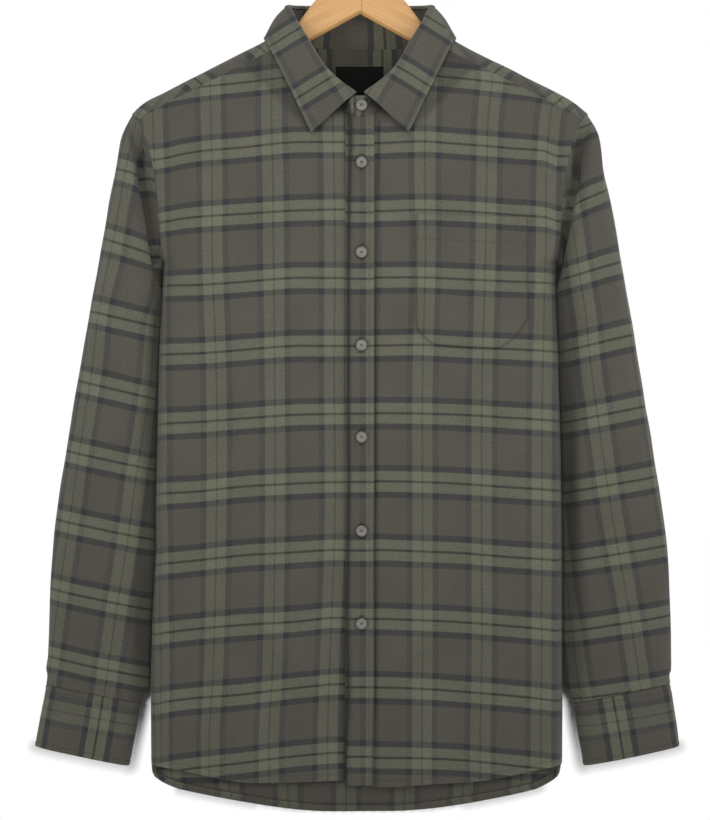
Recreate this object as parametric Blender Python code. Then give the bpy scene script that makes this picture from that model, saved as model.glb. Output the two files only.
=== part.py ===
"""Long-sleeved flannel shirt, buttoned to the neck, hung on a wooden hanger with a steel hook.

Every cut piece of the shirt is its own walled solid: two fronts, back, yoke, two sleeves, two
cuffs, two sleeve plackets, collar stand, collar leaf, front placket, pocket and neck label, with
nine buttons.  Sizes are in millimetres until `place` turns them into metres.

Frame: the shirt's front faces -Y, its left side (the wearer's) is at +X, and +Z is up.  The
origin is the point inside the top of the hook that bears on a rail.  Heights are given as `down`,
the distance below the level of the collar's fold at the side of the neck.
"""
import math

import bmesh
import bpy
from mathutils import Vector

MM = 0.001

# ---- driving dimensions -------------------------------------------------------------------
CLOTH = 1.4              # brushed cotton flannel, one layer with its nap
DOUBLE = 1.8             # two layers with an interlining: collar, stand, cuffs and placket
SEAM = 0.4               # gap between two pieces that are sewn edge to edge
LAY = 0.35               # gap under a piece that lies on another

HOOK_DROP = 86.0         # rail's bearing point above the level where down = 0
SHOULDER_SLOPE = 0.5056  # fall of the shoulder line for each millimetre outwards
SHOULDER_AT_NECK = -13.3 # the shoulder line carried inwards to the centre line
TIP_BEND_FROM = 214.0    # the shoulder line bends down from here to its tip
TIP_BEND = 0.012
RIDGE_RADIUS = 9.0       # round of the cloth over the hanger's arm
FRONT_FALL = 45.0        # height in which the front swells to its full depth
BACK_FALL = 25.0
CROWN = 4.0              # the fronts stand forward at the centre by this much
CORNER = 26.0            # width of the turn from front to side

NECK_HALF = 81.0         # half width of the neckline, on the shoulder line
NECK_BACK_DOWN = 40.0    # neckline at the centre back
NECK_FRONT_DOWN = 119.0  # neckline at the centre front
YOKE_FRONT_DROP = 15.5   # front yoke seam below the shoulder line
YOKE_FRONT_X = 77.0      # where that seam meets the neckline
YOKE_BACK_DOWN = 138.0   # back yoke seam

SIDE_HEM_DOWN = 783.0    # hem at the side seams
FRONT_HEM_RUN = (18.0, 130.0)   # how much lower the front hem hangs, and over which width
BACK_HEM_RUN = (56.0, 210.0)

PLACKET_EDGES = (-15.0, 14.5)
RIGHT_FRONT_LAP = 11.5   # the right front reaches this far past the centre, under the placket
LEFT_FRONT_EDGE = 13.0

BUTTON_RADIUS = 5.8
BUTTON_THICK = 2.6
BUTTON_X = 1.6
FRONT_BUTTON_DOWNS = (165.7, 257.3, 352.0, 445.7, 541.4, 636.1)
COLLAR_BUTTON_DOWN = 107.6

HANGER_HALF_THICK = 6.0
HOOK_WIRE = 2.0          # radius of the hook's wire

# Horizontal sections of the body tube below the armholes.
# Columns: down, half_width, front, back.
BODY = (
    (60.0, 203.5, 48.0, 42.0),
    (263.0, 203.5, 48.0, 42.0),
    (305.0, 204.5, 48.0, 42.0),
    (365.0, 207.0, 47.0, 41.5),
    (440.0, 208.7, 46.0, 41.0),
    (530.0, 210.3, 45.0, 40.0),
    (650.0, 211.3, 44.0, 39.0),
    (740.0, 211.8, 43.0, 38.0),
    (860.0, 210.5, 42.0, 37.0),
)

# Sections of a sleeve from the armhole seam to the cuff.  Each is a loop from its outer point to
# its inner point; `gap` is the inner point's distance from the body's side, and `bow` bends the
# loop towards the body.  The second section is the deep crease beside the armhole seam.
SLEEVE_CLEAR = 1.7       # gap between the body's armhole and the sleeve's first section
CREASE_FADE = 10.0       # the crease beside the armhole is this much shallower at the pit
# Columns: out_x, out_down, in_down, gap, half_depth, bow, square.
SLEEVE = (
    (236.0, 112.7, 265.0, 0.0, 34.0, 12.0, 2.6),
    (239.5, 119.5, 275.0, 1.3, 23.0, 5.0, 2.5),
    (243.0, 127.5, 283.0, 1.3, 34.0, 1.5, 2.6),
    (247.0, 139.0, 289.0, 1.0, 38.0, 0.0, 2.7),
    (251.0, 159.5, 294.0, 1.0, 40.0, 0.0, 2.8),
    (255.0, 182.0, 299.0, 1.0, 40.0, 0.0, 2.8),
    (261.0, 213.0, 304.0, 1.0, 39.0, 0.0, 2.8),
    (267.5, 250.0, 314.0, 1.0, 38.0, 0.0, 2.8),
    (274.0, 287.0, 324.0, 1.0, 37.0, 0.0, 2.8),
    (279.5, 320.0, 340.0, 1.0, 36.0, 0.0, 2.8),
    (285.5, 354.0, 374.0, 1.0, 34.0, 0.0, 2.8),
    (292.0, 391.0, 411.0, 1.0, 32.0, 0.0, 2.8),
    (298.5, 428.0, 448.0, 1.0, 30.5, 0.0, 2.8),
    (304.5, 465.0, 485.0, 1.0, 29.0, 0.0, 2.8),
    (310.5, 504.0, 524.0, 1.0, 27.5, 0.0, 2.8),
    (316.0, 544.0, 564.0, 1.0, 26.0, 0.0, 2.8),
    (319.5, 584.0, 604.0, 1.0, 25.0, 0.0, 2.8),
    (321.0, 622.0, 642.0, 1.0, 24.0, 0.0, 2.8),
    (321.8, 658.0, 677.0, 1.5, 23.0, 0.0, 2.8),
    (322.0, 684.0, 703.0, 3.5, 21.0, 0.0, 2.7),
    (320.0, 701.0, 720.5, 5.5, 18.5, 0.0, 2.6),
)
CUFF_END = (331.5, 765.0, 785.5, 19.0, 17.5, 0.0, 2.6)

# Collar, by the angle walked from the centre back to the centre front: the fold along the top of
# the stand, and the free edge of the leaf, given on the shirt's own surface and lifted from it.
# Columns: turn, half_x, y, down.
FOLD = (
    (0.0, 0.0, 37.0, -4.0),
    (30.0, 38.0, 33.0, -3.5),
    (60.0, 65.0, 19.0, -2.0),
    (85.0, 74.0, 2.0, 0.0),
    (100.0, 70.5, -9.0, 6.0),
    (115.0, 64.5, -18.0, 18.5),
    (135.0, 51.5, -30.0, 41.0),
    (155.0, 37.5, -40.5, 65.0),
    (168.0, 23.5, -46.5, 81.0),
    (180.0, 4.5, -50.0, 95.5),
)
# Columns: turn, half_x, drop, lift.
LEAF_EDGE = (
    (0.0, 0.0, 57.0, 4.5),
    (30.0, 47.0, 33.5, 4.5),
    (60.0, 84.0, 12.0, 4.5),
    (85.0, 98.0, 1.0, 4.0),
    (100.0, 94.0, -9.5, 4.5),
    (115.0, 88.0, -24.5, 4.5),
    (135.0, 77.0, -52.5, 4.0),
    (155.0, 65.5, -82.0, 4.5),
    (168.0, 57.0, -104.5, 5.0),
    (180.0, 49.5, -124.0, 5.5),
)

LAP_OUT = 2.3            # the stand's left end lies this far out, over the right end
STAND_CLEAR = 1.8        # gap between the neckline and the stand
STAND_BELOW_FOLD = 3.2   # the stand stops this far below the fold, and the leaf starts there
ROLL_RADIUS = 3.0
STAND_TIP = ((10.0, 6.0), (8.5, 2.6), (5.0, 0.6))   # the left end's reach and rounding

# Broad folds: a trough (or a ridge, where depth is negative) along a straight line.
# Columns: x0, down0, x1, down1, depth, width.
BODY_FOLDS = (
    (-150.0, 420.0, -95.0, 760.0, 2.4, 22.0),
    (-60.0, 520.0, -70.0, 790.0, -2.0, 20.0),
    (120.0, 470.0, 70.0, 780.0, 2.2, 22.0),
    (175.0, 300.0, 165.0, 700.0, 2.0, 18.0),
    (60.0, 190.0, 150.0, 250.0, 1.6, 18.0),
)

# Hanger outline, right half.
# Columns: x, down.
HANGER_TOP = (
    (0.0, -24.0),
    (14.0, -24.0),
    (30.0, -19.0),
    (47.5, -4.0),
    (64.0, 18.0),
    (71.0, 28.5),
    (77.0, 35.0),
    (84.0, 36.5),
)
HANGER_UNDER_PEAK = 8.1
HANGER_UNDER_SLOPE = 0.55
HANGER_END = 216.0
HANGER_BELOW_RIDGE = 3.3   # the arm lies this far below the outside of the shoulder line

HOOK_CENTRE_DOWN = -64.0
HOOK_RADIUS = 24.0
HOOK_SIDES = 10


def place(x, y, down):
    """World point, in metres, of a point in the shirt's own terms."""
    return Vector((x, y, -(HOOK_DROP + down))) * MM


def clamp(value, low, high):
    return max(low, min(high, value))


def smooth_step(value):
    t = clamp(value, 0.0, 1.0)
    return t * t * (3.0 - 2.0 * t)


def lookup(rows, at):
    """A smooth row of a table at a value of its first column (Catmull-Rom, clamped at the ends)."""
    at = clamp(at, rows[0][0], rows[-1][0])
    index = 0
    while index < len(rows) - 2 and at > rows[index + 1][0]:
        index += 1
    before = rows[max(index - 1, 0)]
    start, end = rows[index], rows[index + 1]
    after = rows[min(index + 2, len(rows) - 1)]
    span = end[0] - start[0]
    t = (at - start[0]) / span
    values = []
    for column in range(len(start)):
        slope_in = (end[column] - before[column]) / max(end[0] - before[0], 1e-9) * span
        slope_out = (after[column] - start[column]) / max(after[0] - start[0], 1e-9) * span
        values.append((2 * t**3 - 3 * t**2 + 1) * start[column] + (t**3 - 2 * t**2 + t) * slope_in
                      + (3 * t**2 - 2 * t**3) * end[column] + (t**3 - t**2) * slope_out)
    return values


def fold_relief(x, down, folds):
    """How far the broad folds push the cloth in at a point of the front view."""
    relief = 0.0
    for x0, down0, x1, down1, depth, width in folds:
        run_x, run_down = x1 - x0, down1 - down0
        along = ((x - x0) * run_x + (down - down0) * run_down) / (run_x**2 + run_down**2)
        near = clamp(along, 0.0, 1.0)
        distance = math.hypot(x - x0 - near * run_x, down - down0 - near * run_down)
        fade = math.sin(math.pi * clamp(along, 0.02, 0.98)) ** 0.5
        relief += depth * fade * math.exp(-(distance / width) ** 2)
    return relief


# ---- the body's surface -------------------------------------------------------------------
def ridge(x):
    """Level of the shoulder line at a distance from the centre."""
    bend = max(0.0, abs(x) - TIP_BEND_FROM)
    return SHOULDER_AT_NECK + SHOULDER_SLOPE * abs(x) + TIP_BEND * bend**2


def loop_across(row, t):
    """Front-view point and half depth of a sleeve section, from its outer (0) to inner (1) point."""
    out_x, out_down, in_down, gap, half_depth, bow, square = row
    in_x = lookup(BODY, in_down)[1] + gap
    x = out_x + (in_x - out_x) * t - bow * math.sin(math.pi * t**0.6)
    down = out_down + (in_down - out_down) * t
    depth = half_depth * max(0.0, 1.0 - abs(1.0 - 2.0 * t) ** square) ** (1.0 / square)
    return x, down, depth


def edge(down):
    """Outer edge of the body panels: the armhole seam above, the side seam below."""
    tip_down, pit_down = SLEEVE[0][1], SLEEVE[0][2]
    if down >= pit_down:
        return lookup(BODY, down)[1], SEAM / 2
    t = clamp((down - tip_down) / (pit_down - tip_down), 0.0, 1.0)
    x, _, depth = loop_across(SLEEVE[0], t)
    return x, max(depth, SEAM / 2)


def surface_depth(x, down, front):
    """Distance of the front or back surface from the middle plane."""
    _, half_width, front_full, back_full = lookup(BODY, down)
    full = front_full if front else back_full
    fall = FRONT_FALL if front else BACK_FALL
    drop = max(0.0, down - ridge(x))
    lack = 1.0 - min(drop / RIDGE_RADIUS, 1.0)
    field = RIDGE_RADIUS * math.sqrt(1.0 - lack**2)
    field += (full - RIDGE_RADIUS) * (1.0 - math.exp(-drop / fall))
    field -= CROWN * (x / half_width) ** 2 * min(drop / 60.0, 1.0)
    field -= fold_relief(x if front else -x, down, BODY_FOLDS)
    edge_x, edge_y = edge(down)
    near = 1.0 - clamp((edge_x - abs(x)) / CORNER, 0.0, 1.0)
    return edge_y + (field - edge_y) * math.sqrt(1.0 - near**2)


def front_point(x, down, out=0.0):
    return Vector((x, -surface_depth(x, down, True) - out, down))


def back_point(x, down, out=0.0):
    return Vector((x, surface_depth(x, down, False) + out, down))


def girth_drop(girth):
    """Drop below the shoulder line for a distance walked from it over the round of the shoulder."""
    quarter = RIDGE_RADIUS * math.pi / 2
    if abs(girth) < quarter:
        return RIDGE_RADIUS * (1.0 - math.cos(girth / RIDGE_RADIUS))
    return RIDGE_RADIUS + abs(girth) - quarter


def drop_girth(drop):
    """The inverse of girth_drop, keeping the sign: plus on the back, minus on the front."""
    size = abs(drop)
    if size < RIDGE_RADIUS:
        walked = RIDGE_RADIUS * math.acos(1.0 - size / RIDGE_RADIUS)
    else:
        walked = size - RIDGE_RADIUS + RIDGE_RADIUS * math.pi / 2
    return math.copysign(walked, drop)


def shoulder_point(x, girth):
    """Point on the body over the shoulder: girth is negative on the front, positive on the back."""
    down = ridge(x) + girth_drop(girth)
    if girth < 0:
        return front_point(x, down)
    return back_point(x, down)


def shoulder_lift(x, girth, lift):
    """The same point moved out along the surface's normal."""
    step = 1.5
    here = shoulder_point(x, girth)
    across = shoulder_point(x + step, girth) - shoulder_point(x - step, girth)
    along = shoulder_point(x, girth + step) - shoulder_point(x, girth - step)
    normal = across.cross(along).normalized()
    if normal.y * girth < 0 or (abs(girth) < 6 and normal.z > 0):
        normal = -normal
    return here + normal * lift


def neck_corner(walked):
    """Neckline over the shoulder: x and girth, from the shoulder line (0) to the front seam (1)."""
    x = YOKE_FRONT_X + (NECK_HALF - YOKE_FRONT_X) * math.cos(walked * math.pi / 2)
    return x, drop_girth(-YOKE_FRONT_DROP) * walked


def front_neckline(x):
    return NECK_FRONT_DOWN - (NECK_FRONT_DOWN - 42.0) * (abs(x) / YOKE_FRONT_X) ** 1.6


def back_neckline(x):
    return NECK_BACK_DOWN - (NECK_BACK_DOWN - ridge(NECK_HALF)) * (abs(x) / NECK_HALF) ** 4.6


def front_top(x):
    """Upper edge of a front: the yoke seam, then the neckline."""
    if abs(x) >= YOKE_FRONT_X:
        return ridge(x) + YOKE_FRONT_DROP + SEAM / 2 + 1.3 * smooth_step((abs(x) - 200.0) / 18.0)
    return front_neckline(x)


# ---- meshes -------------------------------------------------------------------------------
def material(name, colour, roughness, metallic=0.0):
    made = bpy.data.materials.new(name)
    made.use_nodes = True
    shader = made.node_tree.nodes["Principled BSDF"]
    shader.inputs["Base Color"].default_value = (*colour, 1.0)
    shader.inputs["Roughness"].default_value = roughness
    shader.inputs["Metallic"].default_value = metallic
    return made


def add_object(name, mesh, finish):
    piece = bpy.data.objects.new(name, mesh)
    bpy.context.scene.collection.objects.link(piece)
    mesh.materials.append(finish)
    return piece


def face_outwards(mesh):
    bm = bmesh.new()
    bm.from_mesh(mesh)
    bmesh.ops.recalc_face_normals(bm, faces=bm.faces)
    bm.to_mesh(mesh)
    bm.free()


def wall_sheet(name, rows, thickness, finish, closed=False, flip=False):
    """A walled piece of cloth: a grid of outer points, given its thickness inwards."""
    count = len(rows[0])
    points = [place(*point) for row in rows for point in row]
    faces = []
    for r in range(len(rows) - 1):
        for c in range(count if closed else count - 1):
            d = (c + 1) % count
            quad = (r * count + c, r * count + d, (r + 1) * count + d, (r + 1) * count + c)
            faces.append(quad[::-1] if flip else quad)
    mesh = bpy.data.meshes.new(name)
    mesh.from_pydata(points, [], faces)
    mesh.shade_smooth()
    piece = add_object(name, mesh, finish)
    wall = piece.modifiers.new("Cloth wall", "SOLIDIFY")
    wall.thickness = thickness * MM
    wall.offset = -1.0
    wall.use_even_offset = False
    return piece


# ---- body panels --------------------------------------------------------------------------
CORNER_COLUMNS = 5


def column_plan(inner_x, outer_x, top_outer, stops):
    """Columns from the outer edge inwards: distance from the edge, and length of cloth from it.

    `stops` are the places of the inner columns along the panel's top edge.
    """
    reach = math.pi / 2 * math.sqrt((CORNER**2 + 44.0**2) / 2)
    plan = []
    for index in range(CORNER_COLUMNS):
        share = index / CORNER_COLUMNS
        plan.append((CORNER * (1.0 - math.cos(share * math.pi / 2)), reach * share))
    lean = (top_outer - outer_x) / (outer_x - CORNER - inner_x)
    for top_x in (top_outer - CORNER,) + stops + (inner_x,):
        x = (top_x + lean * inner_x) / (1.0 + lean)
        plan.append((outer_x - x, reach + outer_x - x - CORNER))
    return plan


def front_hem(length):
    return SIDE_HEM_DOWN + FRONT_HEM_RUN[0] * smooth_step(length / FRONT_HEM_RUN[1])


def back_hem(length):
    return SIDE_HEM_DOWN + BACK_HEM_RUN[0] * (1.0 - (1.0 - clamp(length / BACK_HEM_RUN[1], 0, 1)) ** 2)


def panel_rows(side, inner_x, point, top, hem, stops, low_rows, high_rows):
    """Rows of a half panel from the hem to its top, and columns from the outer edge inwards."""
    pit = SLEEVE[0][2]
    outer_x = edge(pit)[0]
    top_outer = outer_x
    for _ in range(40):
        top_outer = 0.5 * top_outer + 0.5 * edge(top(top_outer))[0]
    plan = column_plan(inner_x, outer_x, top_outer, stops)
    rows = []
    for index in range(low_rows):
        share = index / low_rows
        row = []
        for distance, length in plan:
            down = hem(length) + (pit - hem(length)) * share
            width = lookup(BODY, down)[1]
            x = inner_x + (width - inner_x) * (outer_x - distance - inner_x) / (outer_x - inner_x)
            row.append(point(side * (width - distance if distance <= CORNER else x), down))
        rows.append(row)
    for index in range(high_rows + 1):
        share = index / high_rows
        outer_down = pit + (top(top_outer) - pit) * share
        bow = edge(outer_down)[0] - (outer_x + (top_outer - outer_x) * share)
        row = []
        for distance, _ in plan:
            inward = clamp((distance - CORNER) / (outer_x - CORNER - inner_x), 0.0, 1.0)
            top_x = top_outer - distance - (top_outer - outer_x) * inward
            x = outer_x - distance + (top_x - outer_x + distance) * share + bow * (1.0 - inward) ** 2
            down = pit + (top(top_x) - pit) * share
            row.append(point(side * x, down))
        rows.append(row)
    return rows


FRONT_STOPS = (170.0, 138.0, 106.0, YOKE_FRONT_X, 63.0, 48.0, 34.0, 22.0)
BACK_STOPS = (170.0, 138.0, 106.0, 77.0, 50.0, 25.0)


def build_fronts(cloth):
    stops = FRONT_STOPS + (11.0, 0.0)
    rows = panel_rows(-1, -RIGHT_FRONT_LAP, front_point, front_top, front_hem, stops, 10, 8)
    wall_sheet("right_front", rows, CLOTH, cloth)
    rows = panel_rows(1, LEFT_FRONT_EDGE, front_point, front_top, front_hem, FRONT_STOPS, 10, 8)
    wall_sheet("left_front", rows, CLOTH, cloth, flip=True)


def back_top(_):
    return YOKE_BACK_DOWN + SEAM / 2


def build_back(cloth):
    right = panel_rows(-1, 0.0, back_point, back_top, back_hem, BACK_STOPS, 10, 6)
    left = panel_rows(1, 0.0, back_point, back_top, back_hem, BACK_STOPS, 10, 6)
    rows = [row_right + row_left[-2::-1] for row_right, row_left in zip(right, left)]
    return wall_sheet("back", rows, CLOTH, cloth, flip=True)


def armhole_x(girth):
    """Where the armhole seam lies at a girth over the shoulder."""
    x = SLEEVE[0][0]
    for _ in range(40):
        x = 0.5 * x + 0.5 * edge(ridge(x) + girth_drop(girth))[0]
    return x


def yoke_columns():
    """Columns of half the yoke: x and girth where each starts, and x where it meets the back seam."""
    front_girth = drop_girth(-(YOKE_FRONT_DROP - SEAM / 2))
    first, last = armhole_x(front_girth), edge(YOKE_BACK_DOWN - SEAM / 2)[0]
    columns = []
    for index in range(CORNER_COLUMNS):
        distance = CORNER * (1.0 - math.cos(index / CORNER_COLUMNS * math.pi / 2))
        columns.append((first - distance, front_girth, last - distance, 1.0))
    flat_first, flat_last = first - CORNER, last - CORNER
    for index in range(10):
        share = index / 9
        end_x = flat_last + (108.0 - flat_last) * share
        start_x = flat_first + (YOKE_FRONT_X - flat_first) * share
        columns.append((start_x, front_girth, end_x, (1 - share) ** 2))
    for walked, end_x in ((0.6, 99.0), (0.25, 92.0), (0.0, 86.0)):
        x, girth = neck_corner(walked)
        columns.append((x, girth, end_x, 0.0))
    for index in range(1, 7):
        x = NECK_HALF * math.cos(index / 6 * math.pi / 2)
        columns.append((x, drop_girth(back_neckline(x) - ridge(x)), 86.0 * (1.0 - index / 6), 0.0))
    return columns


def build_yoke(cloth):
    back_edge = YOKE_BACK_DOWN - SEAM / 2
    columns = yoke_columns()
    first_x, first_girth, last_x, _ = columns[0]
    last_girth = drop_girth(back_edge - ridge(last_x))
    rows = []
    for bend in (0.0, 0.08, 0.15, 0.22, 0.31, 0.48, 0.72, 1.0):
        ease = 1.0 - (1.0 - bend) ** 2
        outer_girth = first_girth + (last_girth - first_girth) * bend
        bow = armhole_x(outer_girth) - (first_x + (last_x - first_x) * ease)
        half = []
        for start_x, start_girth, end_x, follow in columns:
            end_girth = drop_girth(back_edge - ridge(end_x))
            x = start_x + (end_x - start_x) * ease + bow * follow
            half.append((x, start_girth + (end_girth - start_girth) * bend))
        row = [shoulder_point(-x, girth) for x, girth in half]
        row += [shoulder_point(x, girth) for x, girth in half[-2::-1]]
        rows.append(row)
    return wall_sheet("yoke", rows, CLOTH, cloth)


def lay_on_front(x, down, height):
    return front_point(x, down, height)


def build_placket(cloth):
    """The folded band that carries the buttonholes, laid over the right front's edge."""
    low, high = PLACKET_EDGES
    rows = []
    for index in range(21):
        share = index / 20
        row = []
        for column in range(4):
            x = low + (high - low) * column / 3
            bottom = front_hem(400.0) + 0.5
            top = front_neckline(x) + 0.5
            row.append(lay_on_front(x, bottom + (top - bottom) * share, LAY + DOUBLE))
        rows.append(row)
    return wall_sheet("front_placket", rows, DOUBLE, cloth)


# Columns: x, bottom.
POCKET = (
    (57.0, 331.0),
    (60.5, 339.0),
    (74.5, 352.0),
    (100.0, 353.8),
    (141.0, 356.5),
    (157.5, 345.5),
    (165.0, 334.0),
    (171.5, 322.0),
)
POCKET_MOUTH = (217.5, 4.0)   # level of the mouth at its inner end, and its fall to the outer end


def build_pocket(cloth):
    low, high = POCKET[0][0], POCKET[-1][0]
    columns = [row[0] for row in POCKET]
    columns.insert(4, 121.0)
    rows = []
    for index in range(8):
        share = index / 7
        row = []
        for x in columns:
            top = POCKET_MOUTH[0] + POCKET_MOUTH[1] * (x - low) / (high - low)
            for (x0, bottom0), (x1, bottom1) in zip(POCKET, POCKET[1:]):
                if x0 <= x <= x1:
                    bottom = bottom0 + (bottom1 - bottom0) * (x - x0) / (x1 - x0)
            row.append(lay_on_front(x, bottom + (top - bottom) * share, 2.4 * LAY + CLOTH))
        rows.append(row)
    return wall_sheet("pocket", rows, CLOTH, cloth)


# ---- sleeves and cuffs --------------------------------------------------------------------
AROUND = 20


def loop_points(side, row, pit_swell=0.0):
    """One closed section of a sleeve, starting at its outer point and walking down its front."""
    points = []
    square = row[6]
    for index in range(AROUND):
        angle = 2 * math.pi * index / AROUND
        across = math.copysign(abs(math.cos(angle)) ** (2 / square), math.cos(angle))
        t = (1.0 - across) / 2
        x, down, _ = loop_across(row, t)
        half_depth = row[4] + pit_swell * smooth_step((t - 0.6) / 0.35)
        y = half_depth * math.copysign(abs(math.sin(angle)) ** (2 / square), math.sin(angle))
        points.append(Vector((side * x, -y, down)))
    return points


def build_sleeve(name, side, cloth):
    rows = []
    for index, row in enumerate(SLEEVE):
        points = loop_points(side, row, CREASE_FADE if index == 1 else 0.0)
        if index == 0:
            points = [Vector((p.x + side * SLEEVE_CLEAR, p.y * 0.96, p.z + 0.8)) for p in points]
        rows.append(points)
    return wall_sheet(name, rows, CLOTH, cloth, closed=True, flip=side < 0)


def build_cuff(name, side, cloth):
    start = SLEEVE[-1]
    rows = []
    for index in range(4):
        share = index / 3
        row = [a + (b - a) * share for a, b in zip(start, CUFF_END)]
        rows.append([point + Vector((0, 0, SEAM)) for point in loop_points(side, row)])
    return wall_sheet(name, rows, DOUBLE, cloth, closed=True, flip=side < 0)


def sleeve_back_point(side, t, position, out):
    """Point on the back of the lower sleeve or cuff: t across from the outer edge, position by row."""
    table = SLEEVE + (CUFF_END,)
    index = int(clamp(math.floor(position), 0, len(table) - 2))
    share = position - index
    row = [a + (b - a) * share for a, b in zip(table[index], table[index + 1])]
    x, down, depth = loop_across(row, t)
    return Vector((side * x, depth + out, down))


def build_sleeve_placket(name, side, cloth):
    """The narrow band that finishes the slit above the cuff, on the back of the sleeve."""
    last = len(SLEEVE) - 1
    rows = []
    for index in range(9):
        position = last - 0.1 - 4.0 * index / 8
        rows.append([sleeve_back_point(side, t, position, LAY + DOUBLE) for t in (0.36, 0.47, 0.58)])
    return wall_sheet(name, rows, DOUBLE, cloth, flip=side < 0)


# ---- collar -------------------------------------------------------------------------------
def neck_seam(turn):
    """Neckline seam, by the angle walked from the centre back to the centre front."""
    if turn <= 85.0:
        x = NECK_HALF * math.sin(math.radians(turn) * 90.0 / 85.0)
        return back_point(x, back_neckline(x))
    if turn <= 110.0:
        return shoulder_point(*neck_corner((turn - 85.0) / 25.0))
    walked = (turn - 110.0) / 70.0
    x = YOKE_FRONT_X * math.cos(walked * math.pi / 2)
    return front_point(x, front_neckline(x))


def mirror_x(point, side):
    return Vector((side * point.x, point.y, point.z))


def fold_point(turn, side):
    """Point on the collar's fold, the directions out of it and below it, and the left end's lap."""
    here = Vector(lookup(FOLD, turn)[1:])
    run = Vector(lookup(FOLD, turn + 4.0)[1:]) - Vector(lookup(FOLD, turn - 4.0)[1:])
    away = Vector((-run.y, run.x, 0)).normalized()
    below = away.cross(run).normalized()
    if below.z < 0:
        below = -below
    lap = LAP_OUT * smooth_step((turn - 135.0) / 30.0) if side > 0 else 0.0
    return here + away * lap, away, below, lap


def stand_column(turn, side):
    """Bottom and top point of the collar stand at an angle."""
    top, away, below, lap = fold_point(turn, side)
    bottom = neck_seam(turn) + away * lap - Vector((0, 0, STAND_CLEAR))
    return mirror_x(bottom, side), mirror_x(top + below * STAND_BELOW_FOLD, side)


def build_stand(cloth):
    """The band round the neck; its left end laps over the right end at the front."""
    turns = [180.0 * index / 16 for index in range(17)]
    over = stand_column(180.0, 1)
    columns = []
    for reach, rounding in STAND_TIP:
        low = Vector((-reach, over[0].y, front_neckline(reach) - STAND_CLEAR - rounding))
        columns.append((low, Vector((-reach, over[1].y, over[1].z + rounding))))
    columns += [stand_column(turn, 1) for turn in turns[::-1]]
    columns += [stand_column(turn, -1) for turn in turns[1:]]
    under = columns[-1]
    for reach in (5.0, 9.0):
        low = Vector((reach, under[0].y + 0.15 * reach, front_neckline(reach) - STAND_CLEAR - 0.8))
        columns.append((low, Vector((reach, under[1].y + 0.3 * reach, under[1].z + 1.0))))
    rows = []
    for index in range(4):
        share = index / 3
        rows.append([bottom + (top - bottom) * share for bottom, top in columns])
    return wall_sheet("collar_stand", rows, DOUBLE, cloth)


def leaf_column(turn, side):
    """Points of the collar leaf from the stand's top, over the fold, to its free edge."""
    base, away, below, _ = fold_point(turn, side)
    _, edge_x, drop, lift = lookup(LEAF_EDGE, turn)
    free = shoulder_lift(edge_x, drop_girth(drop), lift)
    roll = ROLL_RADIUS + 0.6 * smooth_step((turn - 120.0) / 40.0)
    points = [base - away * DOUBLE + below * (STAND_BELOW_FOLD - 2 * SEAM)]
    for degrees in (0.0, 60.0, 120.0, 180.0):
        angle = math.radians(degrees)
        out = roll * (1 - math.cos(angle)) - DOUBLE
        points.append(base + away * out + below * roll * (0.5 - math.sin(angle)))
    start = points[-1]
    for share in (0.25, 0.5, 0.75, 1.0):
        bulge = away * 4.0 * math.sin(math.pi * share) * (1.0 - share)
        points.append(start + (free - start) * share + bulge)
    return [mirror_x(point, side) for point in points]


def build_leaf(cloth):
    turns = [180.0 * index / 16 for index in range(17)]
    columns = [leaf_column(turn, 1) for turn in turns[::-1]]
    columns += [leaf_column(turn, -1) for turn in turns[1:]]
    rows = [[column[index] for column in columns] for index in range(len(columns[0]))]
    return wall_sheet("collar_leaf", rows, DOUBLE, cloth, flip=True)


def build_label(finish):
    """The bare woven label on the inside of the yoke."""
    rows = []
    for index in range(4):
        down = 88.0 - 30.0 * index / 3
        row = []
        for column in range(7):
            x = -25.0 + 50.0 * column / 6
            row.append(back_point(x, down, -CLOTH - LAY))
        rows.append(row)
    return wall_sheet("neck_label", rows, 1.0, finish, flip=True)


# ---- buttons ------------------------------------------------------------------------------
BUTTON_SIDES = 14
# Columns: radius, height.
BUTTON_PROFILE = (
    (0.0, 0.0),
    (4.6, 0.0),
    (BUTTON_RADIUS, 0.9),
    (BUTTON_RADIUS - 0.3, 2.2),
    (4.6, BUTTON_THICK),
    (3.6, 1.9),
    (0.0, 1.7),
)


def build_button(name, centre, facing, finish):
    """A turned button with a raised rim, its back at `centre` and its face towards `facing`."""
    bm = bmesh.new()
    rings = []
    for radius, height in BUTTON_PROFILE:
        if radius == 0.0:
            rings.append([bm.verts.new((0, 0, height * MM))])
            continue
        ring = []
        for index in range(BUTTON_SIDES):
            angle = 2 * math.pi * index / BUTTON_SIDES
            point = Vector((radius * math.cos(angle), radius * math.sin(angle), height))
            ring.append(bm.verts.new(point * MM))
        rings.append(ring)
    for low, high in zip(rings, rings[1:]):
        for index in range(BUTTON_SIDES):
            after = (index + 1) % BUTTON_SIDES
            if len(low) == 1:
                bm.faces.new((low[0], high[after], high[index]))
            elif len(high) == 1:
                bm.faces.new((low[index], low[after], high[0]))
            else:
                bm.faces.new((low[index], low[after], high[after], high[index]))
    mesh = bpy.data.meshes.new(name)
    bm.to_mesh(mesh)
    bm.free()
    face_outwards(mesh)
    mesh.shade_smooth()
    mesh.set_sharp_from_angle(angle=math.radians(40))
    piece = add_object(name, mesh, finish)
    piece.location = place(*centre)
    piece.rotation_mode = "QUATERNION"
    piece.rotation_quaternion = Vector(facing).to_track_quat("Z", "Y")
    return piece


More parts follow.
